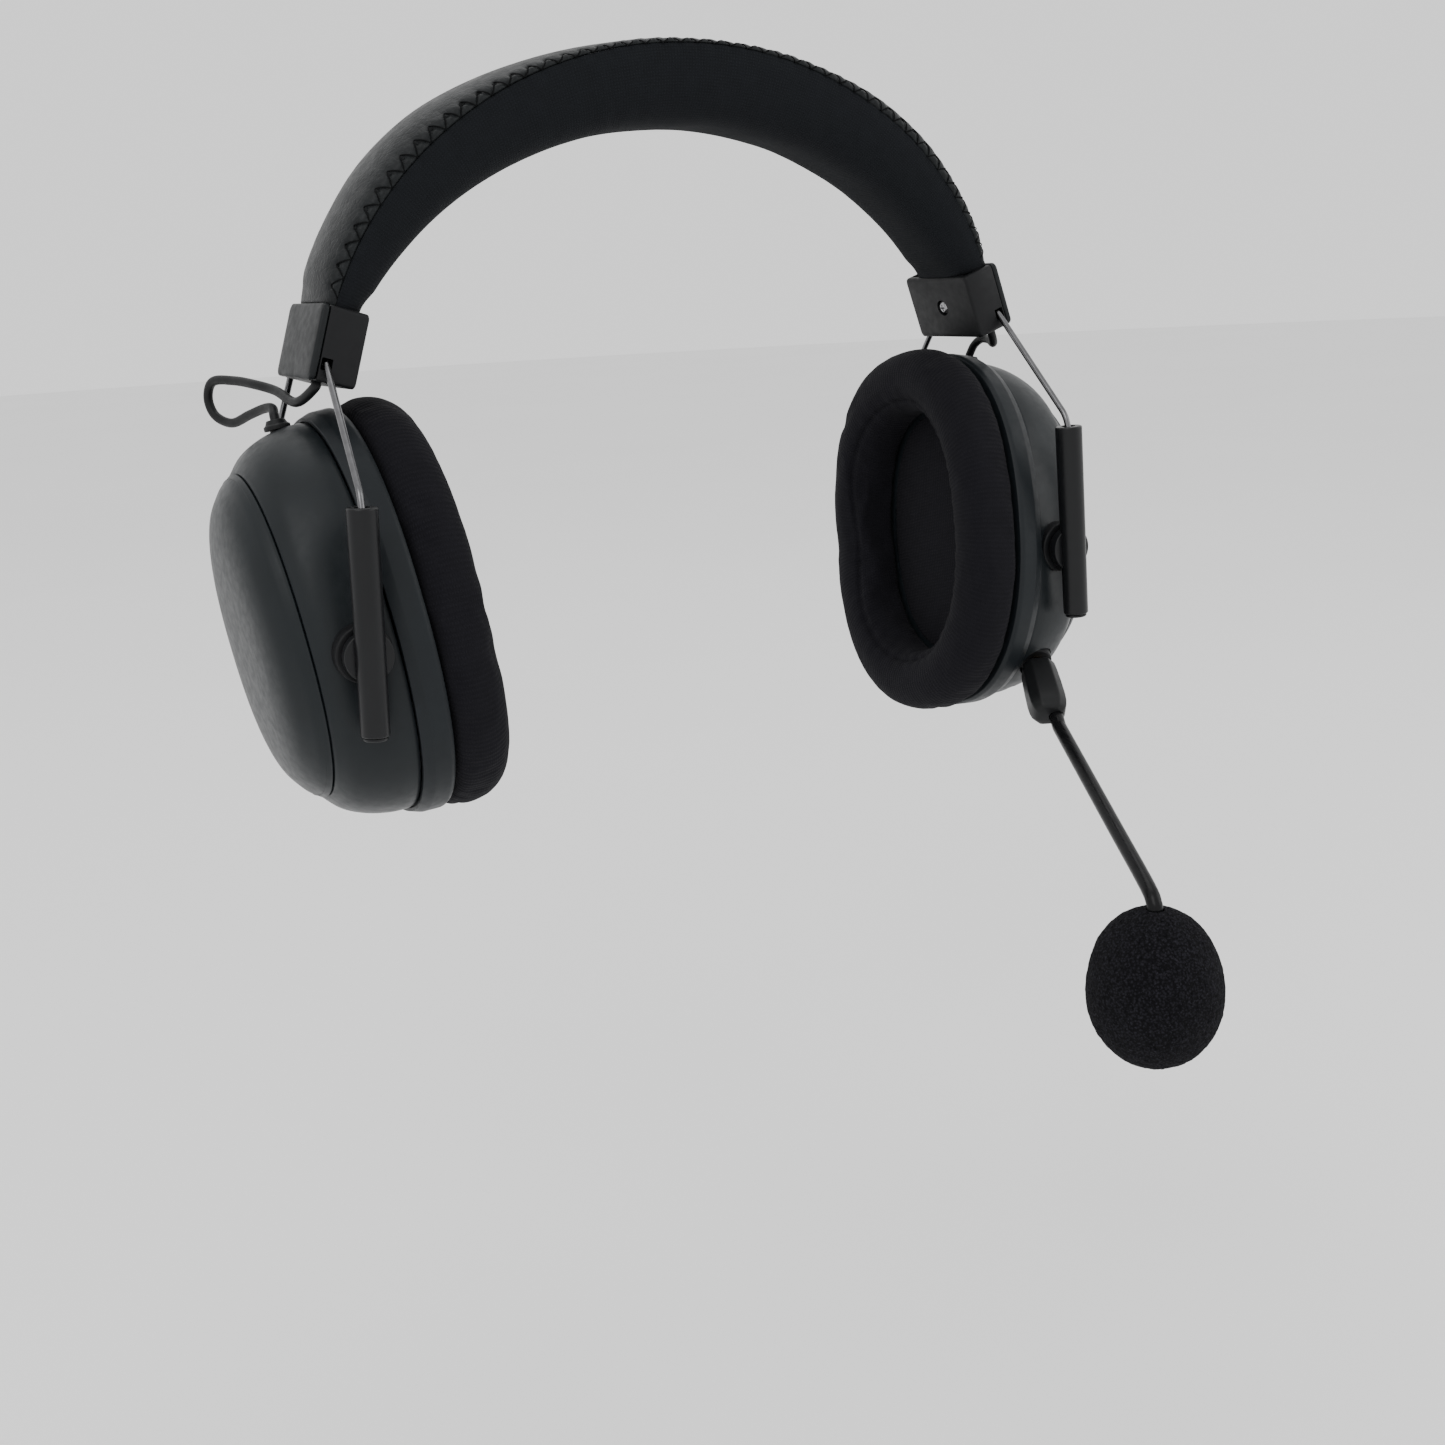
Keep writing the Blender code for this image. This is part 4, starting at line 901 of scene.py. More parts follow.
def zigzag_tree():
    """A thread that runs along a seam in a zigzag, from holes in the leather to the cloth's edge and back."""
    tree, start, end = node_tree(
        "edge_zigzag",
        [(label, "Float") for label in ("Pitch", "Reach", "Lift", "Thread Radius", "Side")] + [("Finish", "Material")],
    )

    def maths(operation, first, second=None):
        links = [(0, first)] + ([(1, second)] if second is not None else [])
        return add_node(tree, "ShaderNodeMath", links, operation=operation).outputs[0]

    def named(label, kind):
        return add_node(tree, "GeometryNodeInputNamedAttribute", [("Name", label)], data_type=kind).outputs[0]

    pitch, side = start.outputs["Pitch"], start.outputs["Side"]
    line = add_node(tree, "GeometryNodeMeshToCurve", [("Mesh", start.outputs["Geometry"])])
    step = maths("DIVIDE", pitch, 14.0)
    fine = add_node(tree, "GeometryNodeResampleCurve", [("Curve", line.outputs[0]), ("Length", step)], mode="LENGTH")
    run = add_node(tree, "GeometryNodeSplineParameter").outputs["Length"]
    phase = maths("PINGPONG", maths("DIVIDE", run, maths("DIVIDE", pitch, 2.0)), 1.0)
    turn = maths("MULTIPLY", phase, start.outputs["Reach"])
    half, rise = named("half_width", "FLOAT"), named("rise", "FLOAT")
    across = maths("MULTIPLY", half, maths("SUBTRACT", maths("POWER", maths("COSINE", turn), COVER_FLAT), 1.0))
    out = maths("MULTIPLY", rise, maths("POWER", maths("SINE", turn), COVER_FULL))
    # The thread dives at both ends of each arm and rides proud in the middle.
    proud = maths("SUBTRACT", maths("MULTIPLY", maths("SINE", maths("MULTIPLY", phase, pi)), 2.2), 1.2)
    lift = maths("MULTIPLY", start.outputs["Lift"], proud)
    lean_out, lean_side = maths("MULTIPLY", lift, maths("SINE", turn)), maths("MULTIPLY", lift, maths("COSINE", turn))
    sideways = maths("MULTIPLY", side, maths("ADD", across, lean_side))
    square = add_node(
        tree, "ShaderNodeVectorMath", [(0, named("outward", "FLOAT_VECTOR")), ("Scale", maths("ADD", out, lean_out))],
        operation="SCALE",
    )
    aside = add_node(tree, "ShaderNodeCombineXYZ", [("Y", sideways)])
    offset = add_node(tree, "ShaderNodeVectorMath", [(0, square.outputs[0]), (1, aside.outputs[0])], operation="ADD")
    bent = add_node(tree, "GeometryNodeSetPosition", [("Geometry", fine.outputs[0]), ("Offset", offset.outputs[0])])
    ring = add_node(
        tree, "GeometryNodeCurvePrimitiveCircle", [("Resolution", 6), ("Radius", start.outputs["Thread Radius"])]
    )
    cord = add_node(
        tree, "GeometryNodeCurveToMesh",
        [("Curve", bent.outputs[0]), ("Profile Curve", ring.outputs[0]), ("Fill Caps", True)],
    )
    real = add_node(tree, "GeometryNodeRealizeInstances", [("Geometry", cord.outputs[0])])
    done = add_node(
        tree, "GeometryNodeSetMaterial", [("Geometry", real.outputs[0]), ("Material", start.outputs["Finish"])]
    )
    tree.links.new(done.outputs[0], end.inputs["Geometry"])
    return tree


def make_stitches(band, settings):
    tree, threads = zigzag_tree(), []
    pitch = settings.stitch_pitch
    # The thread starts and ends on the seam, half a stitch past the last hole that is clear of a cap.
    clear = 3 * MM
    first = np.ceil(clear / pitch) * pitch - pitch / 2
    last = np.floor((band.length - clear) / pitch) * pitch + pitch / 2
    runs = np.arange(first, last + 0.3 * MM, 0.6 * MM)
    for side in (-1, 1):
        mesh = bpy.data.meshes.new("seam_line")
        points = [band.place(run, np.array([side * band.half_width(run)]), np.array([0.0]))[0] for run in runs]
        mesh.from_pydata([list(p) for p in points], [(i, i + 1) for i in range(len(points) - 1)], [])
        for label, kind, field, values in (
            ("half_width", "FLOAT", "value", [band.half_width(run) for run in runs]),
            ("rise", "FLOAT", "value", [band.rise(run) for run in runs]),
            ("outward", "FLOAT_VECTOR", "vector", np.array([arch_outward(band.angle(run)) for run in runs]).ravel()),
        ):
            mesh.attributes.new(label, kind, "POINT").data.foreach_set(field, np.asarray(values, np.float32))
        line = bpy.data.objects.new("seam_line", mesh)
        bpy.context.scene.collection.objects.link(line)
        values = {
            "Pitch": pitch, "Reach": 0.50, "Lift": 0.30 * MM, "Thread Radius": settings.thread_radius,
            "Side": float(side), "Finish": FINISH["thread"],
        }
        threads.append(grow(line, tree, values))
    return face_out(joined("band_edge_stitches", threads))


class HEADSET_OT_band(bpy.types.Operator):
    """Build the headband's leather cover, its knitted pad and the zigzag stitching along both edges"""

    bl_idname = "headset.band"
    bl_label = "Headband"

    def execute(self, context):
        band, settings = Band(), context.scene.headset_band
        cover = link("band_leather_cover", make_cover(band, settings), "leather", 60)
        settle(cover, "headband", "leatherette", "band_cover")
        pad = link("band_knit_pad", make_pad(band, settings), "pad_cloth", 60)
        settle(pad, "headband", "pad_fabric", "band_pad")
        stitches = link("band_edge_stitches", make_stitches(band, settings), "thread", 60)
        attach(stitches, "headband")
        return {"FINISHED"}


# ---------------------------------------------------------------- link cables


def cable_route(name):
    """Points from inside the left-hand cap, down the loop and through the gland into the cup."""
    cap, cup = cap_frame(), cup_frame()
    inside = [cap @ Vector(place) for place in mm((-0.2, -8.5, -2.6), (-0.2, -8.5, -6.5), (1.0, -8.5, -11.2))]
    through = [cap @ (CABLE_START + Vector((0, 0, lift * MM))) for lift in (2.4, 0.0, -1.6)]
    point, normal = wall_place(CABLE_ENTRY)
    into = [cup @ (point + normal * reach * MM) for reach in (3.4, -4.0, -17.5)]
    loops = [Vector(p) for p in CABLE_LOOPS[name]]
    return [*smooth_path([*inside, *through, *loops, into[0]], 8), *into[1:]]


class HEADSET_OT_link_cables(bpy.types.Operator):
    """Build the two link cables between the headband's caps and the ear cups, with their glands"""

    bl_idname = "headset.link_cables"
    bl_label = "Link cables"

    def execute(self, context):
        radius = context.scene.headset_fittings.cable_radius
        for name, side in (("right", -1), ("left", 1)):
            route = [Vector((side * p.x, p.y, p.z)) for p in cable_route(name)]
            run = running(route)
            cut = int(np.argmin(np.abs(run - run[-1] / 2)))
            top, bottom = route[: cut + 1], route[cut:]
            upper = link(f"{name}_link_cable_upper", tube("cable", top, radius, 20), "cable", 60)
            lower = link(f"{name}_link_cable_lower", tube("cable", bottom, radius, 20), "cable", 60)
            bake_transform(upper)
            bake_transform(lower)
            for piece, points, node in ((upper, top, "upper"), (lower, bottom, "lower")):
                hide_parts(f"{name}_cable_{node}")
        profile = mm(
            (1.35, 2.6, 0.2), (2.25, 2.6, 0.4), (2.75, 1.5, 0.5), (3.3, 1.1, 0.3), (3.3, 0.1, 0.1), (2.0, 0.1, 0.1),
            (2.0, -3.0, 0.1), (1.35, -3.0, 0.1),
        )
        gland = link("left_cable_grommet", turned("gland", profile, wall_frame(CABLE_ENTRY), 32, True), "cable")
        settle_both(gland, "ear", "rubber", "cable_gland")
        return {"FINISHED"}


# ---------------------------------------------------------------- end caps and yokes


def rounded_rectangle(half_y, half_z, corner, x, steps=6):
    """A ring of points round a rectangle with round corners, at a depth along X."""
    ring, corner = [], min(corner, half_y - 0.02 * MM, half_z - 0.02 * MM)
    for k, (sy, sz) in enumerate(((1, 1), (-1, 1), (-1, -1), (1, -1))):
        for i in range(steps + 1):
            a = pi / 2 * (k + i / steps)
            ring.append((x, sy * (half_y - corner) + corner * cos(a), sz * (half_z - corner) + corner * sin(a)))
    return ring


def cap_plate():
    half_y, half_z = CAP_SIZE.y / 2, CAP_SIZE.z / 2
    rows = [
        rounded_rectangle(half_y - cut * MM, half_z - cut * MM, (1.5 + 0.3 * cut) * MM, x * MM)
        for x, cut in (
            (4.1, 0.30), (4.25, 0.08), (4.45, 0.0), (5.25, 0.0), (5.55, 0.12), (5.75, 0.42), (5.84, 0.85),
            (5.95, 2.2), (6.06, 4.2), (6.13, 6.2), (6.16, 7.6),
        )
    ]
    return skin("plate", rows, tips=(None, (6.17 * MM, 0, 0)))


def cap_body():
    half_y, half_z = CAP_SIZE.y / 2, CAP_SIZE.z / 2
    rows = [
        rounded_rectangle(half_y - cut * MM, half_z - cut * MM, (1.1 + 0.3 * cut) * MM, x * MM)
        for x, cut in ((-5.8, 0.9), (-5.68, 0.42), (-5.4, 0.12), (-5.0, 0.0), (3.55, 0.0), (3.78, 0.08), (3.9, 0.30))
    ]
    body = skin("body", rows)
    lift = Matrix.Translation((0, 0, CAP_SIZE.z / 2))
    hollow = moved(block(Vector((8.4, 26.8, 18.0)) * MM, 0.6 * MM, 3), Matrix.Translation((0.1 * MM, 0, 1.6 * MM)))
    cutters = [hollow]
    for along in (-1, 1):
        place = Vector((CAP_SPLIT, along * CAP_SIZE.y / 2, -CAP_SIZE.z + WIRE_HEIGHT))
        cutters.append(moved(block(Vector((2.7, 6.0, 2.9)) * MM, 0.25 * MM, 2), lift @ Matrix.Translation(place)))
    cutters.append(moved(drill(1.7, 5.0, -5.0), lift @ Matrix.Translation(CABLE_START)))
    inward = Matrix.Translation(Vector((-6.0 * MM, 0, 0))) @ Matrix.Rotation(pi / 2, 4, "Y")
    cutters.append(moved(drill(2.3, 5.0, -2.0), inward))
    return carve(body, cutters)


def cap_screw():
    """A pan-head screw with a cross recess."""
    seat = Matrix.Translation((-(CAP_SIZE.x / 2 - 2.9 * MM), 0, -CAP_SIZE.z / 2))
    inward = cap_frame() @ seat @ Matrix.Rotation(-pi / 2, 4, "Y")
    head = turned(
        "screw",
        mm((0, 2.9), (1.2, 2.85, 0.5), (1.9, 2.2, 0.3), (1.9, 1.2), (1.0, 1.2), (1.0, -6.2), (0, -6.2)),
        Matrix.Identity(4), 32, steps=3,
    )
    top, bar = Matrix.Translation((0, 0, 2.9 * MM)), Vector((0.5, 2.0, 1.6)) * MM
    bars = [moved(block(bar, 0.08 * MM, 1), top @ Matrix.Rotation(turn, 4, "Z")) for turn in (0, pi / 2)]
    return moved(carve(head, bars), inward)


class HEADSET_OT_caps(bpy.types.Operator):
    """Build the end caps that grip the band: an outer plate, a body with the wire holes, and a screw"""

    bl_idname = "headset.caps"
    bl_label = "End caps"

    def execute(self, context):
        middle = cap_frame() @ Matrix.Translation((0, 0, -CAP_SIZE.z / 2))
        plate = link("left_cap_plate", moved(cap_plate(), middle), "cap")
        settle_both(plate, "headband", "dark_plastic", "cap_outer")
        body = link("left_cap_body", moved(cap_body(), middle), "cap_body")
        settle_both(body, "headband", "dark_plastic", "cap_inner")
        screw = link("left_cap_fixing", cap_screw(), "steel")
        settle_both(screw, "headband", "steel", "cap_screw")
        return {"FINISHED"}


def wire_path(along):
    """The left wire's line: hooked inside the cap, out through its end wall, down and into the slider tube."""
    floor, cap, yoke = -CAP_SIZE.z, cap_frame(), yoke_frame()
    inside = [
        cap @ Vector((CAP_SPLIT, y * MM, floor + z))
        for y, z in ((11.6, 13 * MM), (11.8, WIRE_HEIGHT + 2 * MM), (14.4, WIRE_HEIGHT))
    ]
    top = yoke @ Vector((0, TUBE_Y, TUBE_ABOVE + 1.8 * MM))
    in_tube = [yoke @ Vector((0, TUBE_Y, height)) for height in (TUBE_ABOVE - 1.0 * MM, 8 * MM - TUBE_BELOW)]
    rest = [top.lerp(inside[-1], 0.04), *in_tube]
    points = [Vector((p.x, along * p.y, p.z)) for p in (*inside, *rest)]
    return rounded(points, [0, 1.6 * MM, 2.4 * MM, 9 * MM, 4 * MM, 0], 8)


def slider(along):
    """A slider tube with its disc and stub, bored for the wire, about its own axis."""
    top, bottom = TUBE_ABOVE, -TUBE_BELOW
    body = turned(
        "slider",
        [(0, top), (TUBE_RADIUS, top, 0.55 * MM), (TUBE_END_RADIUS, bottom, 0.55 * MM), (0, bottom)],
        Matrix.Identity(4), 64, steps=5,
    )
    inward = Matrix.Rotation(pi / 2 * along, 4, "X")
    disc = turned("disc", mm((0, 0.6), (6.0, 0.6, 0.3), (6.0, 3.4, 0.5), (0, 3.4)), inward, 64)
    stub = turned("stub", mm((0, 3.0), (2.6, 3.0), (2.6, 12.6, 0.5), (0, 12.6)), inward, 32)
    body = carve(body, [disc, stub], "UNION")
    bore = drill(2.1, (top - 8 * MM) / MM, (bottom - MM) / MM)
    profile = mm((0, 1.0), (1.9, 1.0), (1.9, -1.1, 0.2), (1.15, -1.4), (1.15, -9.0), (0, -9.0))
    mouth = turned("mouth", [(r, top + height, *fillet) for r, height, *fillet in profile], Matrix.Identity(4), 32)
    return carve(body, [bore, mouth])


class HEADSET_OT_yokes(bpy.types.Operator):
    """Build the spring wires and the slider tubes that carry the ear cups"""

    bl_idname = "headset.yokes"
    bl_label = "Yokes"

    def execute(self, context):
        radius = context.scene.headset_fittings.wire_radius
        for end, along in (("front", -1), ("rear", 1)):
            path = wire_path(along)
            low = (path[-1] - path[-2]).normalized()
            path = [*path, path[-1] + low * 0.05 * MM, path[-1] + low * 0.1 * MM, path[-1] + low * 3.2 * MM]
            radii = [radius] * (len(path) - 2) + [STOP_RADIUS] * 2
            wire = link(f"left_spring_wire_{end}", tube("wire", path, radii, 20, 0.1), "wire")
            settle_both(wire, "headband", "wire_steel", f"wire_{end}")
            place = yoke_frame() @ Matrix.Translation((0, along * TUBE_Y, 0))
            tube_piece = link(f"left_slider_tube_{end}", moved(slider(along), place), "tube")
            settle_both(tube_piece, "yoke", "dark_plastic", f"slider_{end}")
            profile = mm((0, 3.2), (1.8, 3.2), (1.8, -0.2), (3.0, -0.2), (2.9, -0.9, 0.4), (0, -0.9))
            plug = turned("plug", profile, place @ Matrix.Translation((0, 0, -TUBE_BELOW)), 48)
            settle_both(link(f"left_tube_end_{end}", plug, "tube"), "yoke", "dark_plastic", f"tube_plug_{end}")
        return {"FINISHED"}


# ---------------------------------------------------------------- ear cups


def valley(rows, depth):
    """Hollows the front and rear walls behind the slider tubes."""
    turn = np.array(Matrix.Rotation(CUP_RAKE, 3, "X"))
    placed = rows @ turn.T
    x, y, z = placed[..., 0] + 0.158 * placed[..., 2], placed[..., 1], placed[..., 2]

    def step(value, low, high):
        t = np.clip((value - low) / (high - low), 0, 1)
        return t * t * (3 - 2 * t)

    window = step(z, -26 * MM, -8 * MM) * (1 - step(z, 22 * MM, 40 * MM))
    hollow = depth * np.exp(-((x / (6.3 * MM)) ** 2)) * window * step(np.abs(y), 24 * MM, 33 * MM)
    moved_rows = placed.copy()
    moved_rows[..., 1] -= np.sign(y) * hollow
    return moved_rows @ turn


def smooth_sections(sections, per_span=6):
    return [tuple(p) for p in smooth_path([Vector(s) for s in sections], per_span)]


def housing_mesh(depth):
    lip = mm((30.6, 41.2, 27.32))
    outer = [(35.5 * MM, 49.6 * MM, 8.2 * MM), *smooth_sections(HOUSING)[1:], *lip]
    inner = [(s[0], s[1], s[2]) for s in inset(smooth_sections(HOUSING, 3), WALL)][::-1]
    return cup_skin("housing", [*outer, *inner], shape=lambda rows: valley(rows, depth), count=160)


class HEADSET_OT_shells(bpy.types.Operator):
    """Build the ear cups' housings, domes, rims and hubs"""

    bl_idname = "headset.shells"
    bl_label = "Cup shells"

    def execute(self, context):
        depth = context.scene.headset_cups.valley
        cup, ear = cup_frame(), ear_frame()
        shell = carve(housing_mesh(depth), [drill(2.35, 6, -8, wall_frame(CABLE_ENTRY))])
        plain_copy = shell.copy()
        right = link("left_cup_housing", plain_copy, "shell", 40)
        settle(mirror(right, "right_cup_housing"), "right_ear", "shell_plastic", "right_housing")
        bpy.data.objects.remove(right)
        cutters = [drill(3.35, 4, -8, wall_frame(place), 40) for place in (MUTE_PLACE, POWER_PLACE)]
        point, normal = wall_place(DIAL_PLACE)
        across = Matrix.Rotation(pi / 2, 4, "Y")
        slot = mm((0, 2.1), (8.6, 2.1, 0.3), (8.6, -2.1, 0.3), (0, -2.1))
        cutters.append(turned("slot", slot, cup @ Matrix.Translation(point - normal * DIAL_DEPTH) @ across, 64))
        point, normal = wall_place(PORT_PLACE)
        box = block(Vector((4.6, 10.4, 12)) * MM, 1.2 * MM, 4)
        cutters.append(moved(box, cup @ aim_flat(normal, point - normal * 2 * MM)))
        cutters.append(drill(5.0, 3, -9, aim(PLUG_DIRECTION, SOCKET_MOUTH), 48))
        left = link("left_cup_housing", carve(shell, cutters), "shell", 40)
        settle(left, "left_ear", "shell_plastic", "left_housing")

        lip = mm((30.15, 40.6, 27.46), (30.5, 41.0, 27.52), (30.72, 41.2, 27.8))
        outer = [*lip, *smooth_sections(DOME, 5)[2:]]
        front = cup_skin("dome", outer, False, tips=(None, DOME_DEPTH))
        dome = link("left_cup_dome", front, "shell", 40)
        bm = bmesh.new()
        bm.from_mesh(dome.data)
        bmesh.ops.delete(bm, geom=[f for f in bm.faces if len(f.verts) > 4], context="FACES_ONLY")
        bm.to_mesh(dome.data)
        bm.free()
        wall = dome.modifiers.new("wall", "SOLIDIFY")
        wall.thickness, wall.offset = 1.6 * MM, -1.0
        made = plain(dome)
        bpy.data.objects.remove(dome)
        settle_both(link("left_cup_dome", made, "shell", 40), "ear", "shell_plastic", "dome")

        radii = [0, 0.5, 1.4, 1.2, 0.25, 0.2, 0.4, 0.4, 0.4, 0]
        profile = mm(
            (36.0, 50.0, -0.05), (37.5, 51.5, -0.05), (38.1, 52.1, 1.0), (37.9, 51.9, 5.4), (36.8, 50.9, 8.0),
            (35.9, 50.0, 8.0), (35.7, 49.8, 7.4), (34.0, 48.0, 7.4), (34.0, 48.0, 2.2), (33.0, 47.0, 2.2),
        )
        sections = [tuple(p) for p in rounded(profile, [r * MM for r in radii], 4)]
        place, count = np.array(cup), 128
        rows = [outline(*s, count=count) for s in sections]
        for depth_mm in (2.2, -0.05):
            rows.append(outline(24.6 * MM, 24.6 * MM, depth_mm * MM, power=2, count=count))
        rows = np.array(rows) @ place[:3, :3].T + place[:3, 3]
        rim = link("left_cup_rim", skin("rim", rows, True), "rim", 40)
        settle_both(rim, "ear", "shell_plastic", "rim")

        for end, along in (("front", -1), ("rear", 1)):
            inward = ear @ Matrix.Rotation(-pi / 2 * along, 4, "X")
            profile = mm(
                (2.9, 29.2, 0.2), (7.0, 29.2, 0.2), (7.0, 37.2, 0.6), (4.3, 37.2, 0.2), (4.1, 36.8, 0.2),
                (2.9, 36.8, 0.2),
            )
            # The hubs take the caps' darker body plastic: painted shade, since the hubs look this dark only on the
            # side turned away from the light.
            hub = link(f"left_cup_hub_{end}", turned("hub", profile, inward, 64, True), "dark", 40)
            for piece in settle_both_riding(hub, "ear"):
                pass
        return {"FINISHED"}


def settle_both_riding(obj, body):
    """A left piece and its mirrored copy that stand for no solid of their own."""
    other = mirror(obj, obj.name.replace("left_", "right_"))
    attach(obj, f"left_{body}")
    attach(other, f"right_{body}")
    return obj, other


# ---------------------------------------------------------------- cushions


def ring_length(count=720):
    """Angle and distance run round the cushion's middle oval."""
    ring = outline(30.5 * MM, 44 * MM, 0, count=count)[:, 1:] - np.array(CUP_CENTRE)[1:]
    angle = np.unwrap(np.arctan2(ring[:, 1], ring[:, 0]))
    return angle - angle[0], running(ring), angle[0]


def wrap_cloth(mesh):
    """A UV map in metres, round the oval and round its section, found from where each point is."""
    inverse = np.array(cup_frame().inverted())
    co = np.zeros(len(mesh.vertices) * 3)
    mesh.vertices.foreach_get("co", co)
    local = co.reshape(-1, 3) @ inverse[:3, :3].T + inverse[:3, 3] - np.array(CUP_CENTRE)
    angles, runs, first = ring_length()
    total = runs[-1] + (runs[1] - runs[0])
    theta = np.arctan2(local[:, 2], local[:, 1])
    share = (theta - first) % (2 * pi)
    u = np.interp(share, np.append(angles, 2 * pi), np.append(runs, total))
    reach = (np.abs(np.cos(theta)) ** OUTLINE_POWER + np.abs(np.sin(theta)) ** OUTLINE_POWER) ** (-1 / OUTLINE_POWER)
    half = np.hypot(30.5 * MM * np.cos(theta) * reach, 44 * MM * np.sin(theta) * reach)
    bend = np.arctan2(local[:, 0] + 8.5 * MM, np.hypot(local[:, 1], local[:, 2]) - half)
    v = bend * 8.8 * MM
    loops = np.zeros(len(mesh.loops), np.int64)
    mesh.loops.foreach_get("vertex_index", loops)
    start = np.zeros(len(mesh.polygons), np.int64)
    sizes = np.zeros(len(mesh.polygons), np.int64)
    mesh.polygons.foreach_get("loop_start", start)
    mesh.polygons.foreach_get("loop_total", sizes)
    owner = np.repeat(np.arange(len(start)), sizes)
    uv = np.stack([u[loops], v[loops]], axis=1)
    for column, span in ((0, total), (1, 2 * pi * 8.8 * MM)):
        top = np.full(len(start), -1e9)
        np.maximum.at(top, owner, uv[:, column])
        uv[:, column] += span * (top[owner] - uv[:, column] > span / 2)
    layer = mesh.uv_layers.get("UVMap") or mesh.uv_layers.new(name="UVMap")
    layer.data.foreach_set("uv", uv.astype(np.float32).ravel())
    return local, theta, bend


def puff(mesh, pinned, pressure, most):
    """The mesh after its cloth has been blown up a little, held at the pinned points."""
    scene = bpy.context.scene
    obj = bpy.data.objects.new("puffed", mesh)
    scene.collection.objects.link(obj)
    group = obj.vertex_groups.new(name="held")
    for index in np.nonzero(pinned)[0]:
        group.add([int(index)], 1.0, "REPLACE")
    rest = np.zeros(len(mesh.vertices) * 3)
    mesh.vertices.foreach_get("co", rest)
    cloth = obj.modifiers.new("cloth", "CLOTH")
    made = cloth.settings
    made.quality, made.mass, made.air_damping = 6, 0.15, 2.0
    made.tension_stiffness = made.compression_stiffness = 12
    made.shear_stiffness, made.bending_stiffness = 6, 0.25
    made.use_pressure, made.uniform_pressure_force = True, pressure
    made.shrink_min = -0.03
    made.effector_weights.gravity = 0
    made.vertex_group_mass = "held"
    for step in range(1, 21):
        scene.frame_set(step)
    after = plain(obj)
    found = np.zeros(len(after.vertices) * 3)
    after.vertices.foreach_get("co", found)
    scene.frame_set(1)
    bpy.data.objects.remove(obj)
    bpy.data.meshes.remove(after)
    move = (found - rest).reshape(-1, 3)
    length = np.linalg.norm(move, axis=1)
    move *= np.minimum(1, most / np.maximum(length, 1e-9))[:, None]
    return (rest.reshape(-1, 3) + move).astype(np.float32)


def cushion_mesh():
    """The left ear cushion: a stuffed ring of cloth, flat against the rim."""
    slack = [0.95 * MM * (1 if s[0] > 30 * MM else -1) for s in CUSHION]
    sections = [(s[0] - cut, s[1] - cut, s[2] * 0.96) for s, cut in zip(CUSHION, slack)]
    mesh = cup_skin("cushion", smooth_sections([*sections, sections[0]], 3)[:-1], count=96)
    obj = link("cushion", mesh, "cushion")
    remesh = obj.modifiers.new("remesh", "REMESH")
    remesh.mode, remesh.voxel_size = "VOXEL", 2.4 * MM
    mesh = plain(obj)
    bpy.data.objects.remove(obj)
    inverse = cup_frame().inverted()
    local = np.array([(inverse @ v.co) - CUP_CENTRE for v in mesh.vertices])
    mesh.vertices.foreach_set("co", puff(mesh, local[:, 0] > -2.2 * MM, 4.0, 0.85 * MM).ravel())
    obj = link("cushion", mesh, "cushion")
    fine = obj.modifiers.new("fine", "SUBSURF")
    fine.levels = fine.render_levels = 2
    mesh = plain(obj)
    bpy.data.objects.remove(obj)
    local, theta, bend = wrap_cloth(mesh)
    # The seam where the side cloth meets the lining, inside the ring's front edge, and soft waves along it.
    from_seam = bend - radians(-140)
    seam = np.exp(-((from_seam / radians(5)) ** 2))
    angles, runs, first = ring_length()
    u = np.interp((theta - first) % (2 * pi), angles, runs)
    waves = np.sin(u / (5.2 * MM) * 2 * pi + 1.5 * np.sin(theta * 3)) * np.exp(-((from_seam / radians(22)) ** 2))
    edge = np.exp(-(((local[:, 0] + 0.6 * MM) / (0.9 * MM)) ** 2))
    shift = (-0.75 * seam + 0.16 * waves - 0.35 * edge) * MM
    normals = np.zeros(len(mesh.vertices) * 3)
    mesh.vertices.foreach_get("normal", normals)
    co = np.zeros(len(mesh.vertices) * 3)
    mesh.vertices.foreach_get("co", co)
    mesh.vertices.foreach_set("co", (co.reshape(-1, 3) + normals.reshape(-1, 3) * shift[:, None]).ravel())
    return mesh


class HEADSET_OT_cushions(bpy.types.Operator):
    """Build the ear cushions and the cloth scrims in front of the speakers"""

    bl_idname = "headset.cushions"
    bl_label = "Ear cushions"

    def execute(self, context):
        cushion = link("left_ear_cushion", cushion_mesh(), "cushion", 60)
        for piece in settle_both(cushion, "ear", "cushion_fabric", "cushion"):
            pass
        steps = 14

        def ring(share, depth):
            """A ring of the scrim at a share of its width. It sags by 1 mm in the middle."""
            half_length, half_height = 22.2 * MM * share, 34.8 * MM * share
            return outline(half_length, half_height, (depth - 1.0 * (1 - share**2)) * MM, count=96)

        front = [ring(k / steps, -0.55) for k in range(steps, 0, -1)]
        back = [ring(share, -0.25) for share in (1.0, 0.66, 0.33, 1 / steps)]
        place = np.array(cup_frame())
        rows = np.array([*back[::-1], *front]) @ place[:3, :3].T + place[:3, 3]
        tips = [list(cup_frame() @ (CUP_CENTRE + Vector((x * MM, 0, 0)))) for x in (-1.25, -1.55)]
        scrim = link("left_speaker_scrim", skin("scrim", rows, tips=tips), "scrim", 60)
        uv = scrim.data.uv_layers["UVMap"].data
        inverse = cup_frame().inverted()
        for loop in scrim.data.loops:
            spot = inverse @ scrim.data.vertices[loop.vertex_index].co
            uv[loop.index].uv = (spot.y, spot.z)
        for piece in settle_both(scrim, "ear", "scrim_fabric", "scrim"):
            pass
        return {"FINISHED"}


# ---------------------------------------------------------------- controls


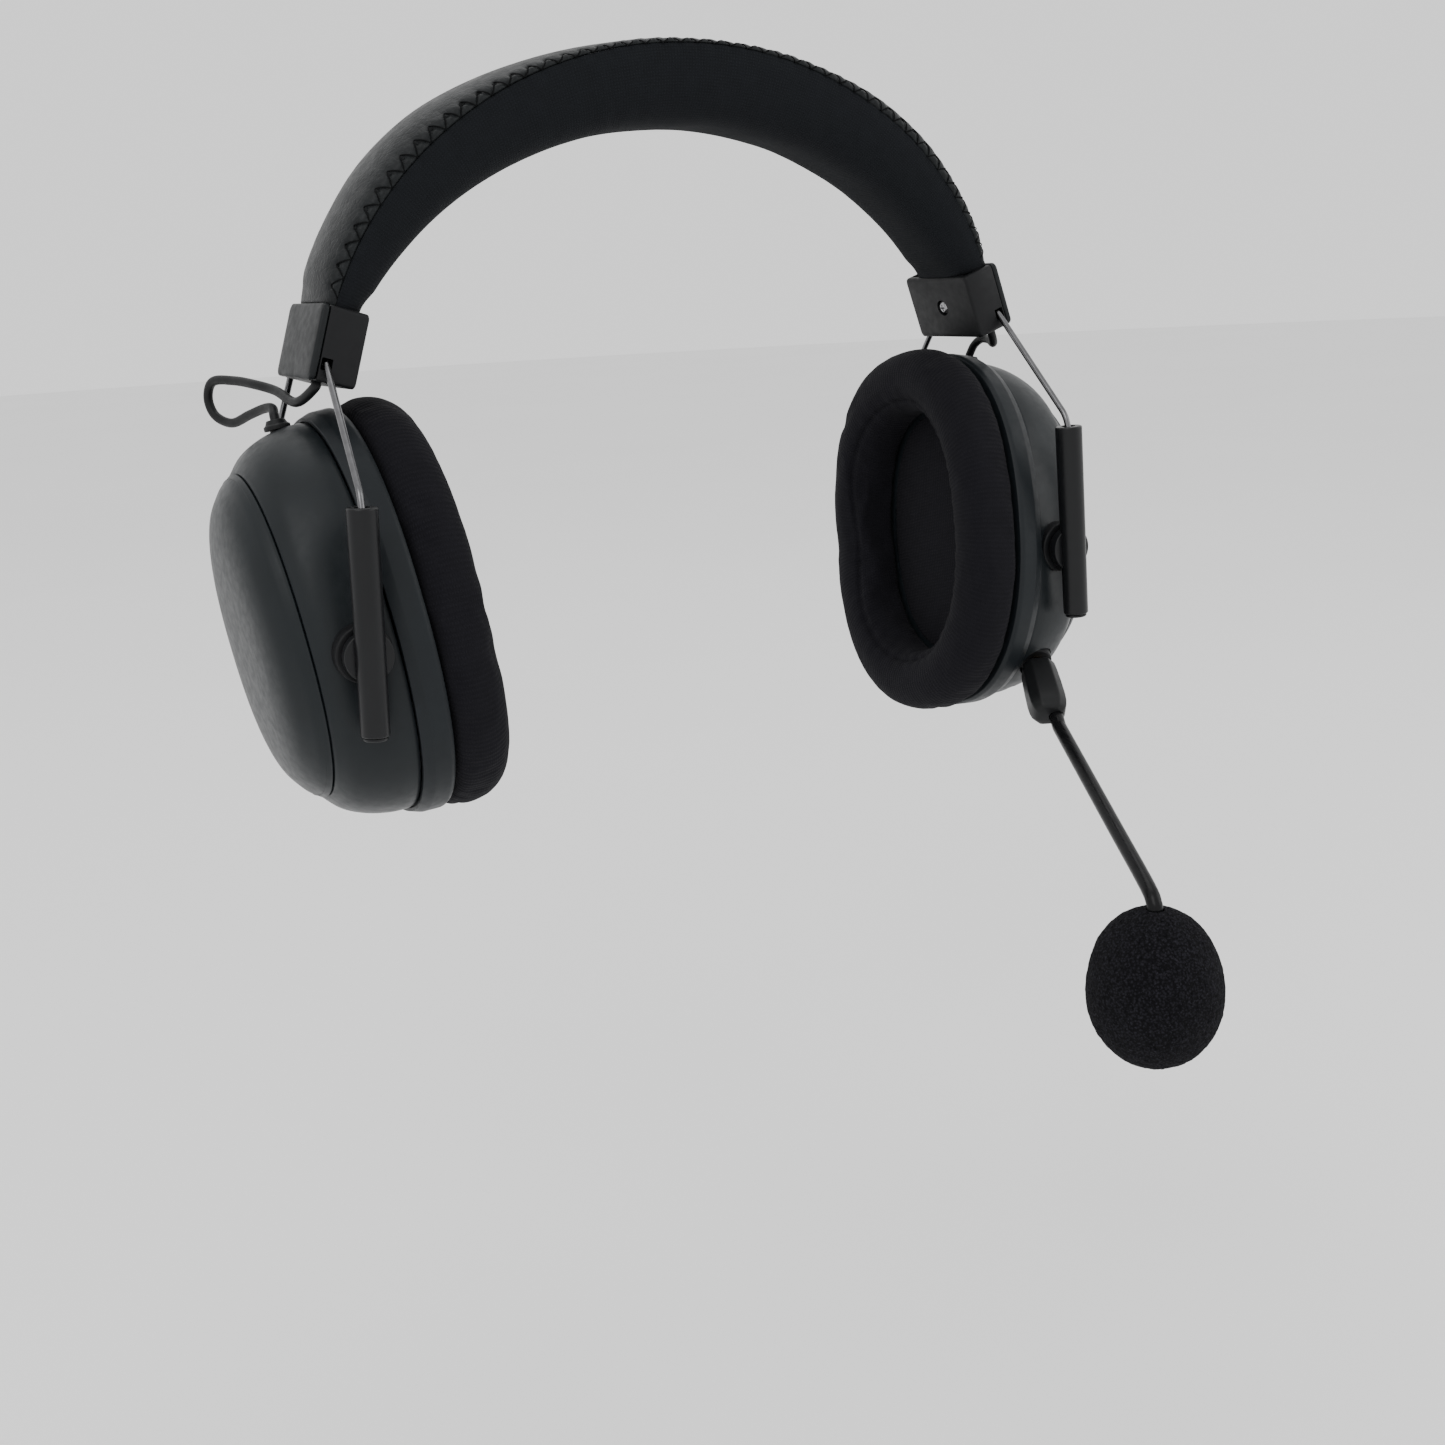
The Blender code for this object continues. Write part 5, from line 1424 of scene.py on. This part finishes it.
def knurl_tree():
    """Short ribs set square to a circle, all round it."""
    tree, start, end = node_tree(
        "dial_knurl", [("Count", "Int"), ("Radius", "Float"), ("Rib Size", "Vector"), ("Finish", "Material")]
    )
    circle = add_node(
        tree, "GeometryNodeMeshCircle", [("Vertices", start.outputs["Count"]), ("Radius", start.outputs["Radius"])]
    )
    rib = add_node(tree, "GeometryNodeMeshCube", [("Size", start.outputs["Rib Size"])])
    index = add_node(tree, "GeometryNodeInputIndex")
    step = add_node(tree, "ShaderNodeMath", [(0, 2 * pi), (1, start.outputs["Count"])], operation="DIVIDE")
    angle = add_node(tree, "ShaderNodeMath", [(0, index.outputs[0]), (1, step.outputs[0])], operation="MULTIPLY")
    quarter = add_node(tree, "ShaderNodeMath", [(0, angle.outputs[0]), (1, pi / 4)], operation="ADD")
    turn = add_node(tree, "ShaderNodeCombineXYZ", [("Z", quarter.outputs[0])])
    # Each rib is a square bar turned on its corner, so that its ridge points outwards.
    ribs = add_node(
        tree, "GeometryNodeInstanceOnPoints",
        [("Points", circle.outputs[0]), ("Instance", rib.outputs[0]), ("Rotation", turn.outputs[0])],
    )
    real = add_node(tree, "GeometryNodeRealizeInstances", [("Geometry", ribs.outputs[0])])
    both = add_node(tree, "GeometryNodeJoinGeometry")
    tree.links.new(start.outputs["Geometry"], both.inputs[0])
    tree.links.new(real.outputs[0], both.inputs[0])
    done = add_node(
        tree, "GeometryNodeSetMaterial", [("Geometry", both.outputs[0]), ("Material", start.outputs["Finish"])]
    )
    tree.links.new(done.outputs[0], end.inputs["Geometry"])
    return tree


class HEADSET_OT_controls(bpy.types.Operator):
    """Build the left cup's buttons and its knurled volume dial, and finish its sockets"""

    bl_idname = "headset.controls"
    bl_label = "Controls"

    def execute(self, context):
        cup = cup_frame()
        for name, place, dish in (("mute_button", MUTE_PLACE, 0.35), ("power_button", POWER_PLACE, -0.15)):
            profile = mm(
                (0, 0.9 - dish), (1.6, 0.9 - dish, 0.5), (2.3, 0.9, 0.3), (3.0, 0.85, 0.45), (3.0, -3.7),
                (4.0, -3.7, 0.2), (4.0, -4.7, 0.2), (0, -4.7),
            )
            button = link(f"left_{name}_key", turned("button", profile, wall_frame(place), 48), "dark")
            settle(button, name, "dark_plastic", f"left_{name}")
        point, normal = wall_place(DIAL_PLACE)
        centre = point - normal * DIAL_DEPTH
        drum = turned("drum", mm((0, 1.6), (7.5, 1.6, 0.35), (7.5, -1.6, 0.35), (0, -1.6)), Matrix.Identity(4), 72)
        wheel = link("left_dial_drum", drum, "dark")
        rib = (0.62 * MM, 0.62 * MM, 2.7 * MM)
        values = {"Count": 48, "Radius": 7.5 * MM, "Rib Size": rib, "Finish": FINISH["dark"]}
        axle = cup @ Matrix.Translation(centre) @ Matrix.Rotation(pi / 2, 4, "Y")
        wheel = moved(grow(wheel, knurl_tree(), values), axle)
        settle(link("left_knurled_dial", wheel, "dark", 25), "volume_dial", "dark_plastic", "left_volume_dial")
        profile = mm(
            (2.05, -0.35, 0.15), (2.3, -0.1, 0.1), (4.4, -0.1, 0.3), (4.7, -0.5, 0.1), (4.7, -4.6), (3.6, -4.6),
            (3.6, -15.5), (2.05, -15.5),
        )
        socket = turned("socket", profile, aim(PLUG_DIRECTION, SOCKET_MOUTH), 48, True)
        settle(link("left_jack_socket", socket, "dark"), "left_ear", "dark_plastic", "left_mic_socket")
        point, normal = wall_place(PORT_PLACE)
        port = moved(block(Vector((3.6, 9.4, 7.4)) * MM, 1.3 * MM, 5), Matrix.Translation((0, 0, -4.0 * MM)))
        mouth = moved(block(Vector((2.5, 8.2, 8.0)) * MM, 1.0 * MM, 4), Matrix.Translation((0, 0, 1.4 * MM)))
        tongue = moved(block(Vector((0.7, 5.6, 5.0)) * MM, 0.2 * MM, 2), Matrix.Translation((0, 0, -3.6 * MM)))
        shell = joined("port", [carve(port, [mouth]), tongue])
        port = link("left_charge_socket", moved(shell, cup @ aim_flat(normal, point)), "steel")
        settle(port, "left_ear", "steel", "left_charge_port")
        return {"FINISHED"}


# ---------------------------------------------------------------- microphone


def plug_mesh():
    """The plug's body: a flattened eight-sided block with soft corners and a rounded nose."""
    corners = [(1, 0.55), (0.55, 1), (-0.55, 1), (-1, 0.55), (-1, -0.55), (-0.55, -1), (0.55, -1), (1, -0.55)]
    sections = [
        (2.0, 7.6, 7.2), (2.15, 8.4, 8.1), (2.6, 8.95, 8.7), (3.2, 9.3, 9.1), (6.0, 9.75, 9.5), (11.0, 10.15, 9.75),
        (16.0, 10.35, 9.8), (18.4, 10.1, 9.5), (20.0, 9.5, 8.9), (21.2, 8.4, 7.8), (21.8, 7.3, 6.7), (22.0, 6.0, 5.4),
    ]
    rows = []
    for length, width, height in sections:
        ring = [Vector((width / 2 * x, height / 2 * y, 0)) * MM for x, y in corners]
        ring = rounded([(ring[-1] + ring[0]) / 2, *ring, (ring[-1] + ring[0]) / 2], 1.1 * MM, 4)[:-1]
        rows.append([(p.x, p.y, length * MM) for p in ring])
    return skin("plug", rows)


def boom_path():
    place = boom_frame()
    start, leave = place @ Vector((0, 0, 13.6 * MM)), place @ Vector((0, 0, PLUG_LENGTH + 4 * MM))
    elbow = FOAM_TOP + Vector((1.3, 4.2, 4.0)) * MM
    run = [leave.lerp(elbow, share) for share in (0.0, 0.33, 0.66, 1.0)]
    rough = [start, *smooth_path([*run, FOAM_TOP + Vector((0, 0.2, 0.6)) * MM], 6), FOAM_TOP - Vector((0, 0, 5 * MM))]
    at = np.linspace(0, running(rough)[-1], 150)
    return [Vector([np.interp(t, running(rough), [p[k] for p in rough]) for k in range(3)]) for t in at]


def foam_mesh(settings):
    """An egg-shaped sponge with a pocket for the capsule and a broken, porous skin."""
    radius, half = settings.foam_radius, settings.foam_half_height
    outer = []
    for k in range(97):
        angle = radians(8) + (pi - radians(8)) * k / 96
        squeeze = 1 - 0.045 * cos(angle) * sin(angle)
        outer.append((radius * sin(angle) * squeeze, half * (cos(angle) - 1) + 0.0008 * sin(angle) ** 2 * cos(angle)))
    neck, pocket = 2.1 * MM, 4.9 * MM
    bottom = -13.0 * MM
    hollow = [(0, bottom), (pocket, bottom), (pocket, -5.0 * MM), (neck, -4.0 * MM), (neck, -0.9 * MM)]
    profile = [*hollow, *outer[:-1], (0, -2 * half)]
    mesh = turned("foam", profile, Matrix.Translation(FOAM_TOP), 192)
    centre = FOAM_TOP - Vector((0, 0, half))
    co = []
    for v in mesh.vertices:
        away = v.co - centre
        share = min(1.0, max(0.0, (away.length / radius - 0.8) * 8))
        if (v.co - FOAM_TOP).xy.length <= 2.6 * MM:
            share = 0.0
        pore = max(0.0, noise.noise(v.co / (0.7 * MM) + UP * 9) - 0.25)
        push = noise.noise(v.co / (1.1 * MM)) * 0.16 + noise.noise(v.co / (9 * MM)) * 0.22 - pore * 0.9
        co.append(v.co + away.normalized() * push * share * MM)
    mesh.vertices.foreach_set("co", np.array(co, np.float32).ravel())
    return mesh


class HEADSET_OT_microphone(bpy.types.Operator):
    """Build the plug, the jack, the boom and its foam windscreen"""

    bl_idname = "headset.microphone"
    bl_label = "Microphone"

    def execute(self, context):
        settings, place = context.scene.headset_microphone, aim(PLUG_DIRECTION, SOCKET_MOUTH)
        seats = [drill(2.05, 8, -2), moved(drill(2.15, 25, 13), place.inverted() @ boom_frame())]
        plug = link("mic_plug_body", moved(carve(plug_mesh(), seats), place), "plug", 40)
        settle(plug, "microphone", "dark_plastic", "mic_plug")
        tip = mm(
            (0, 7.6), (1.75, 7.6, 0.1), (1.75, -11.0, 0.3), (1.2, -11.8, 0.3), (1.6, -12.8, 0.4), (0.5, -14.2, 0.3),
            (0, -14.2),
        )
        settle(link("mic_jack_pin", turned("jack", tip, place, 40), "gold"), "microphone", "brass", "mic_jack")
        rings = []
        for height in (-3.6, -6.2, -8.8):
            top, low = height + 0.3, height - 0.3
            profile = mm((1.4, top), (1.79, top), (1.79, low), (1.4, low))
            rings.append(turned("ring", profile, place, 40, True))
        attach(link("mic_jack_rings", joined("rings", rings), "dark"), "microphone")

        path, radius = boom_path(), settings.boom_radius
        middle = int(np.argmin([(p - BOOM_MIDDLE).length for p in path]))
        halves = (
            ("upper", path[: middle + 1], ["mic_boom_root"], ("microphone", "boom_middle"), BOOM_LIFT),
            ("lower", path[middle:], ["mic_boom_middle", "mic_boom_end"], ("boom_middle", "boom_end"), BOOM_SWING),
        )
        for name, points, nodes, bodies, joint in halves:
            sleeve = link(f"mic_boom_sleeve_{name}", tube("boom", points, radius, 24, 0.2), "boom", 60)
            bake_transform(sleeve)
            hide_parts(*nodes)
        foam = link("mic_foam_windscreen", foam_mesh(settings), "foam", 180)
        settle(foam, "boom_end", "foam", "mic_foam")
        return {"FINISHED"}


# ---------------------------------------------------------------- finish of the kept solids, and the stage


class HEADSET_OT_kept_parts(bpy.types.Operator):
    """Give the frame's own inner parts their finishes"""

    bl_idname = "headset.kept_parts"
    bl_label = "Inner parts"

    def execute(self, context):
        for finish, names in KEPT_NODES.items():
            for name in names:
                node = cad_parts[name]
                for slot in node.material_slots:
                    slot.material = FINISH[finish]
                if not node.material_slots:
                    node.data.materials.append(FINISH[finish])
        return {"FINISHED"}


class HEADSET_OT_stage(bpy.types.Operator):
    """Set up the pale floor, the soft studio light and the camera, and make the finishes"""

    bl_idname = "headset.stage"
    bl_label = "Stage"

    def execute(self, context):
        scene, settings = context.scene, context.scene.headset_stage
        camera = bpy.data.objects.new("camera", bpy.data.cameras.new("camera"))
        camera.data.lens, camera.data.sensor_width, camera.data.clip_start = settings.lens, 36.0, 0.01
        forward, right = Vector((0.4467, 0.8576, -0.2550)).normalized(), Vector((0.8789, -0.4739, -0.0541))
        right = (right - forward * right.dot(forward)).normalized()
        turn = Matrix((right, right.cross(forward), -forward)).transposed().to_4x4()
        camera.matrix_world = Matrix.Translation((-0.21166, -0.42418, -0.03506)) @ turn
        scene.collection.objects.link(camera)
        scene.camera = camera

        floor_paint = Finish("floor_paper", settings.floor, 0.9, Specular_IOR_Level=0.2)
        floor_paint.shift(floor_paint.noise(0.4), 0.02).emboss(floor_paint.noise(2 * MM), 0.02 * MM)
        bm = bmesh.new()
        level = Matrix.Translation((0, 0, settings.floor_height))
        bmesh.ops.create_circle(bm, cap_ends=True, segments=96, radius=6.0, matrix=level)
        mesh = bpy.data.meshes.new("floor")
        bm.to_mesh(mesh)
        bm.free()
        mesh.materials.append(floor_paint.material)
        floor = bpy.data.objects.new("floor", mesh)
        scene.collection.objects.link(floor)

        world = bpy.data.worlds.new("studio")
        world.use_nodes = True
        world.node_tree.nodes["Background"].inputs["Color"].default_value = (1.0, 1.0, 1.0, 1.0)
        world.node_tree.nodes["Background"].inputs["Strength"].default_value = settings.sky
        scene.world = world
        for name, place, power, wide in (
            ("key", (-0.9, -0.9, 0.9), 1.0, 0.9),
            ("fill", (1.1, -0.7, 0.4), 0.45, 0.8),
            ("top", (0.1, 0.3, 1.2), 0.6, 1.0),
        ):
            data = bpy.data.lights.new(name, "AREA")
            data.energy, data.size = settings.light * power, wide
            lamp = bpy.data.objects.new(name, data)
            lamp.location = place
            lamp.rotation_euler = (Vector((0, 0, -0.1)) - Vector(place)).to_track_quat("-Z", "Y").to_euler()
            scene.collection.objects.link(lamp)
        FINISH.update(make_finishes())
        return {"FINISHED"}


STEPS = (
    HEADSET_OT_stage, HEADSET_OT_link_cables, HEADSET_OT_band, HEADSET_OT_caps, HEADSET_OT_yokes, HEADSET_OT_shells,
    HEADSET_OT_cushions, HEADSET_OT_controls, HEADSET_OT_microphone, HEADSET_OT_kept_parts,
)


class HEADSET_PT_panel(bpy.types.Panel):
    """The headset's pieces and their settings"""

    bl_idname = "HEADSET_PT_panel"
    bl_label = "Headset"
    bl_space_type = "VIEW_3D"
    bl_region_type = "UI"
    bl_category = "Headset"

    def draw(self, context):
        for step in STEPS:
            self.layout.operator(step.bl_idname)
        for label, group in SETTINGS.items():
            box = self.layout.box()
            settings = getattr(context.scene, label)
            for field in group.__annotations__:
                box.prop(settings, field)


def register():
    for group in SETTINGS.values():
        bpy.utils.register_class(group)
    for label, group in SETTINGS.items():
        setattr(bpy.types.Scene, label, bpy.props.PointerProperty(type=group))
    for step in (*STEPS, HEADSET_PT_panel):
        bpy.utils.register_class(step)


def unregister():
    for step in (HEADSET_PT_panel, *reversed(STEPS)):
        bpy.utils.unregister_class(step)
    for label in SETTINGS:
        delattr(bpy.types.Scene, label)
    for group in reversed(list(SETTINGS.values())):
        bpy.utils.unregister_class(group)


def main():
    register()
    for step in STEPS:
        space, name = step.bl_idname.split(".")
        getattr(getattr(bpy.ops, space), name)()


if __name__ == "__main__":
    main()
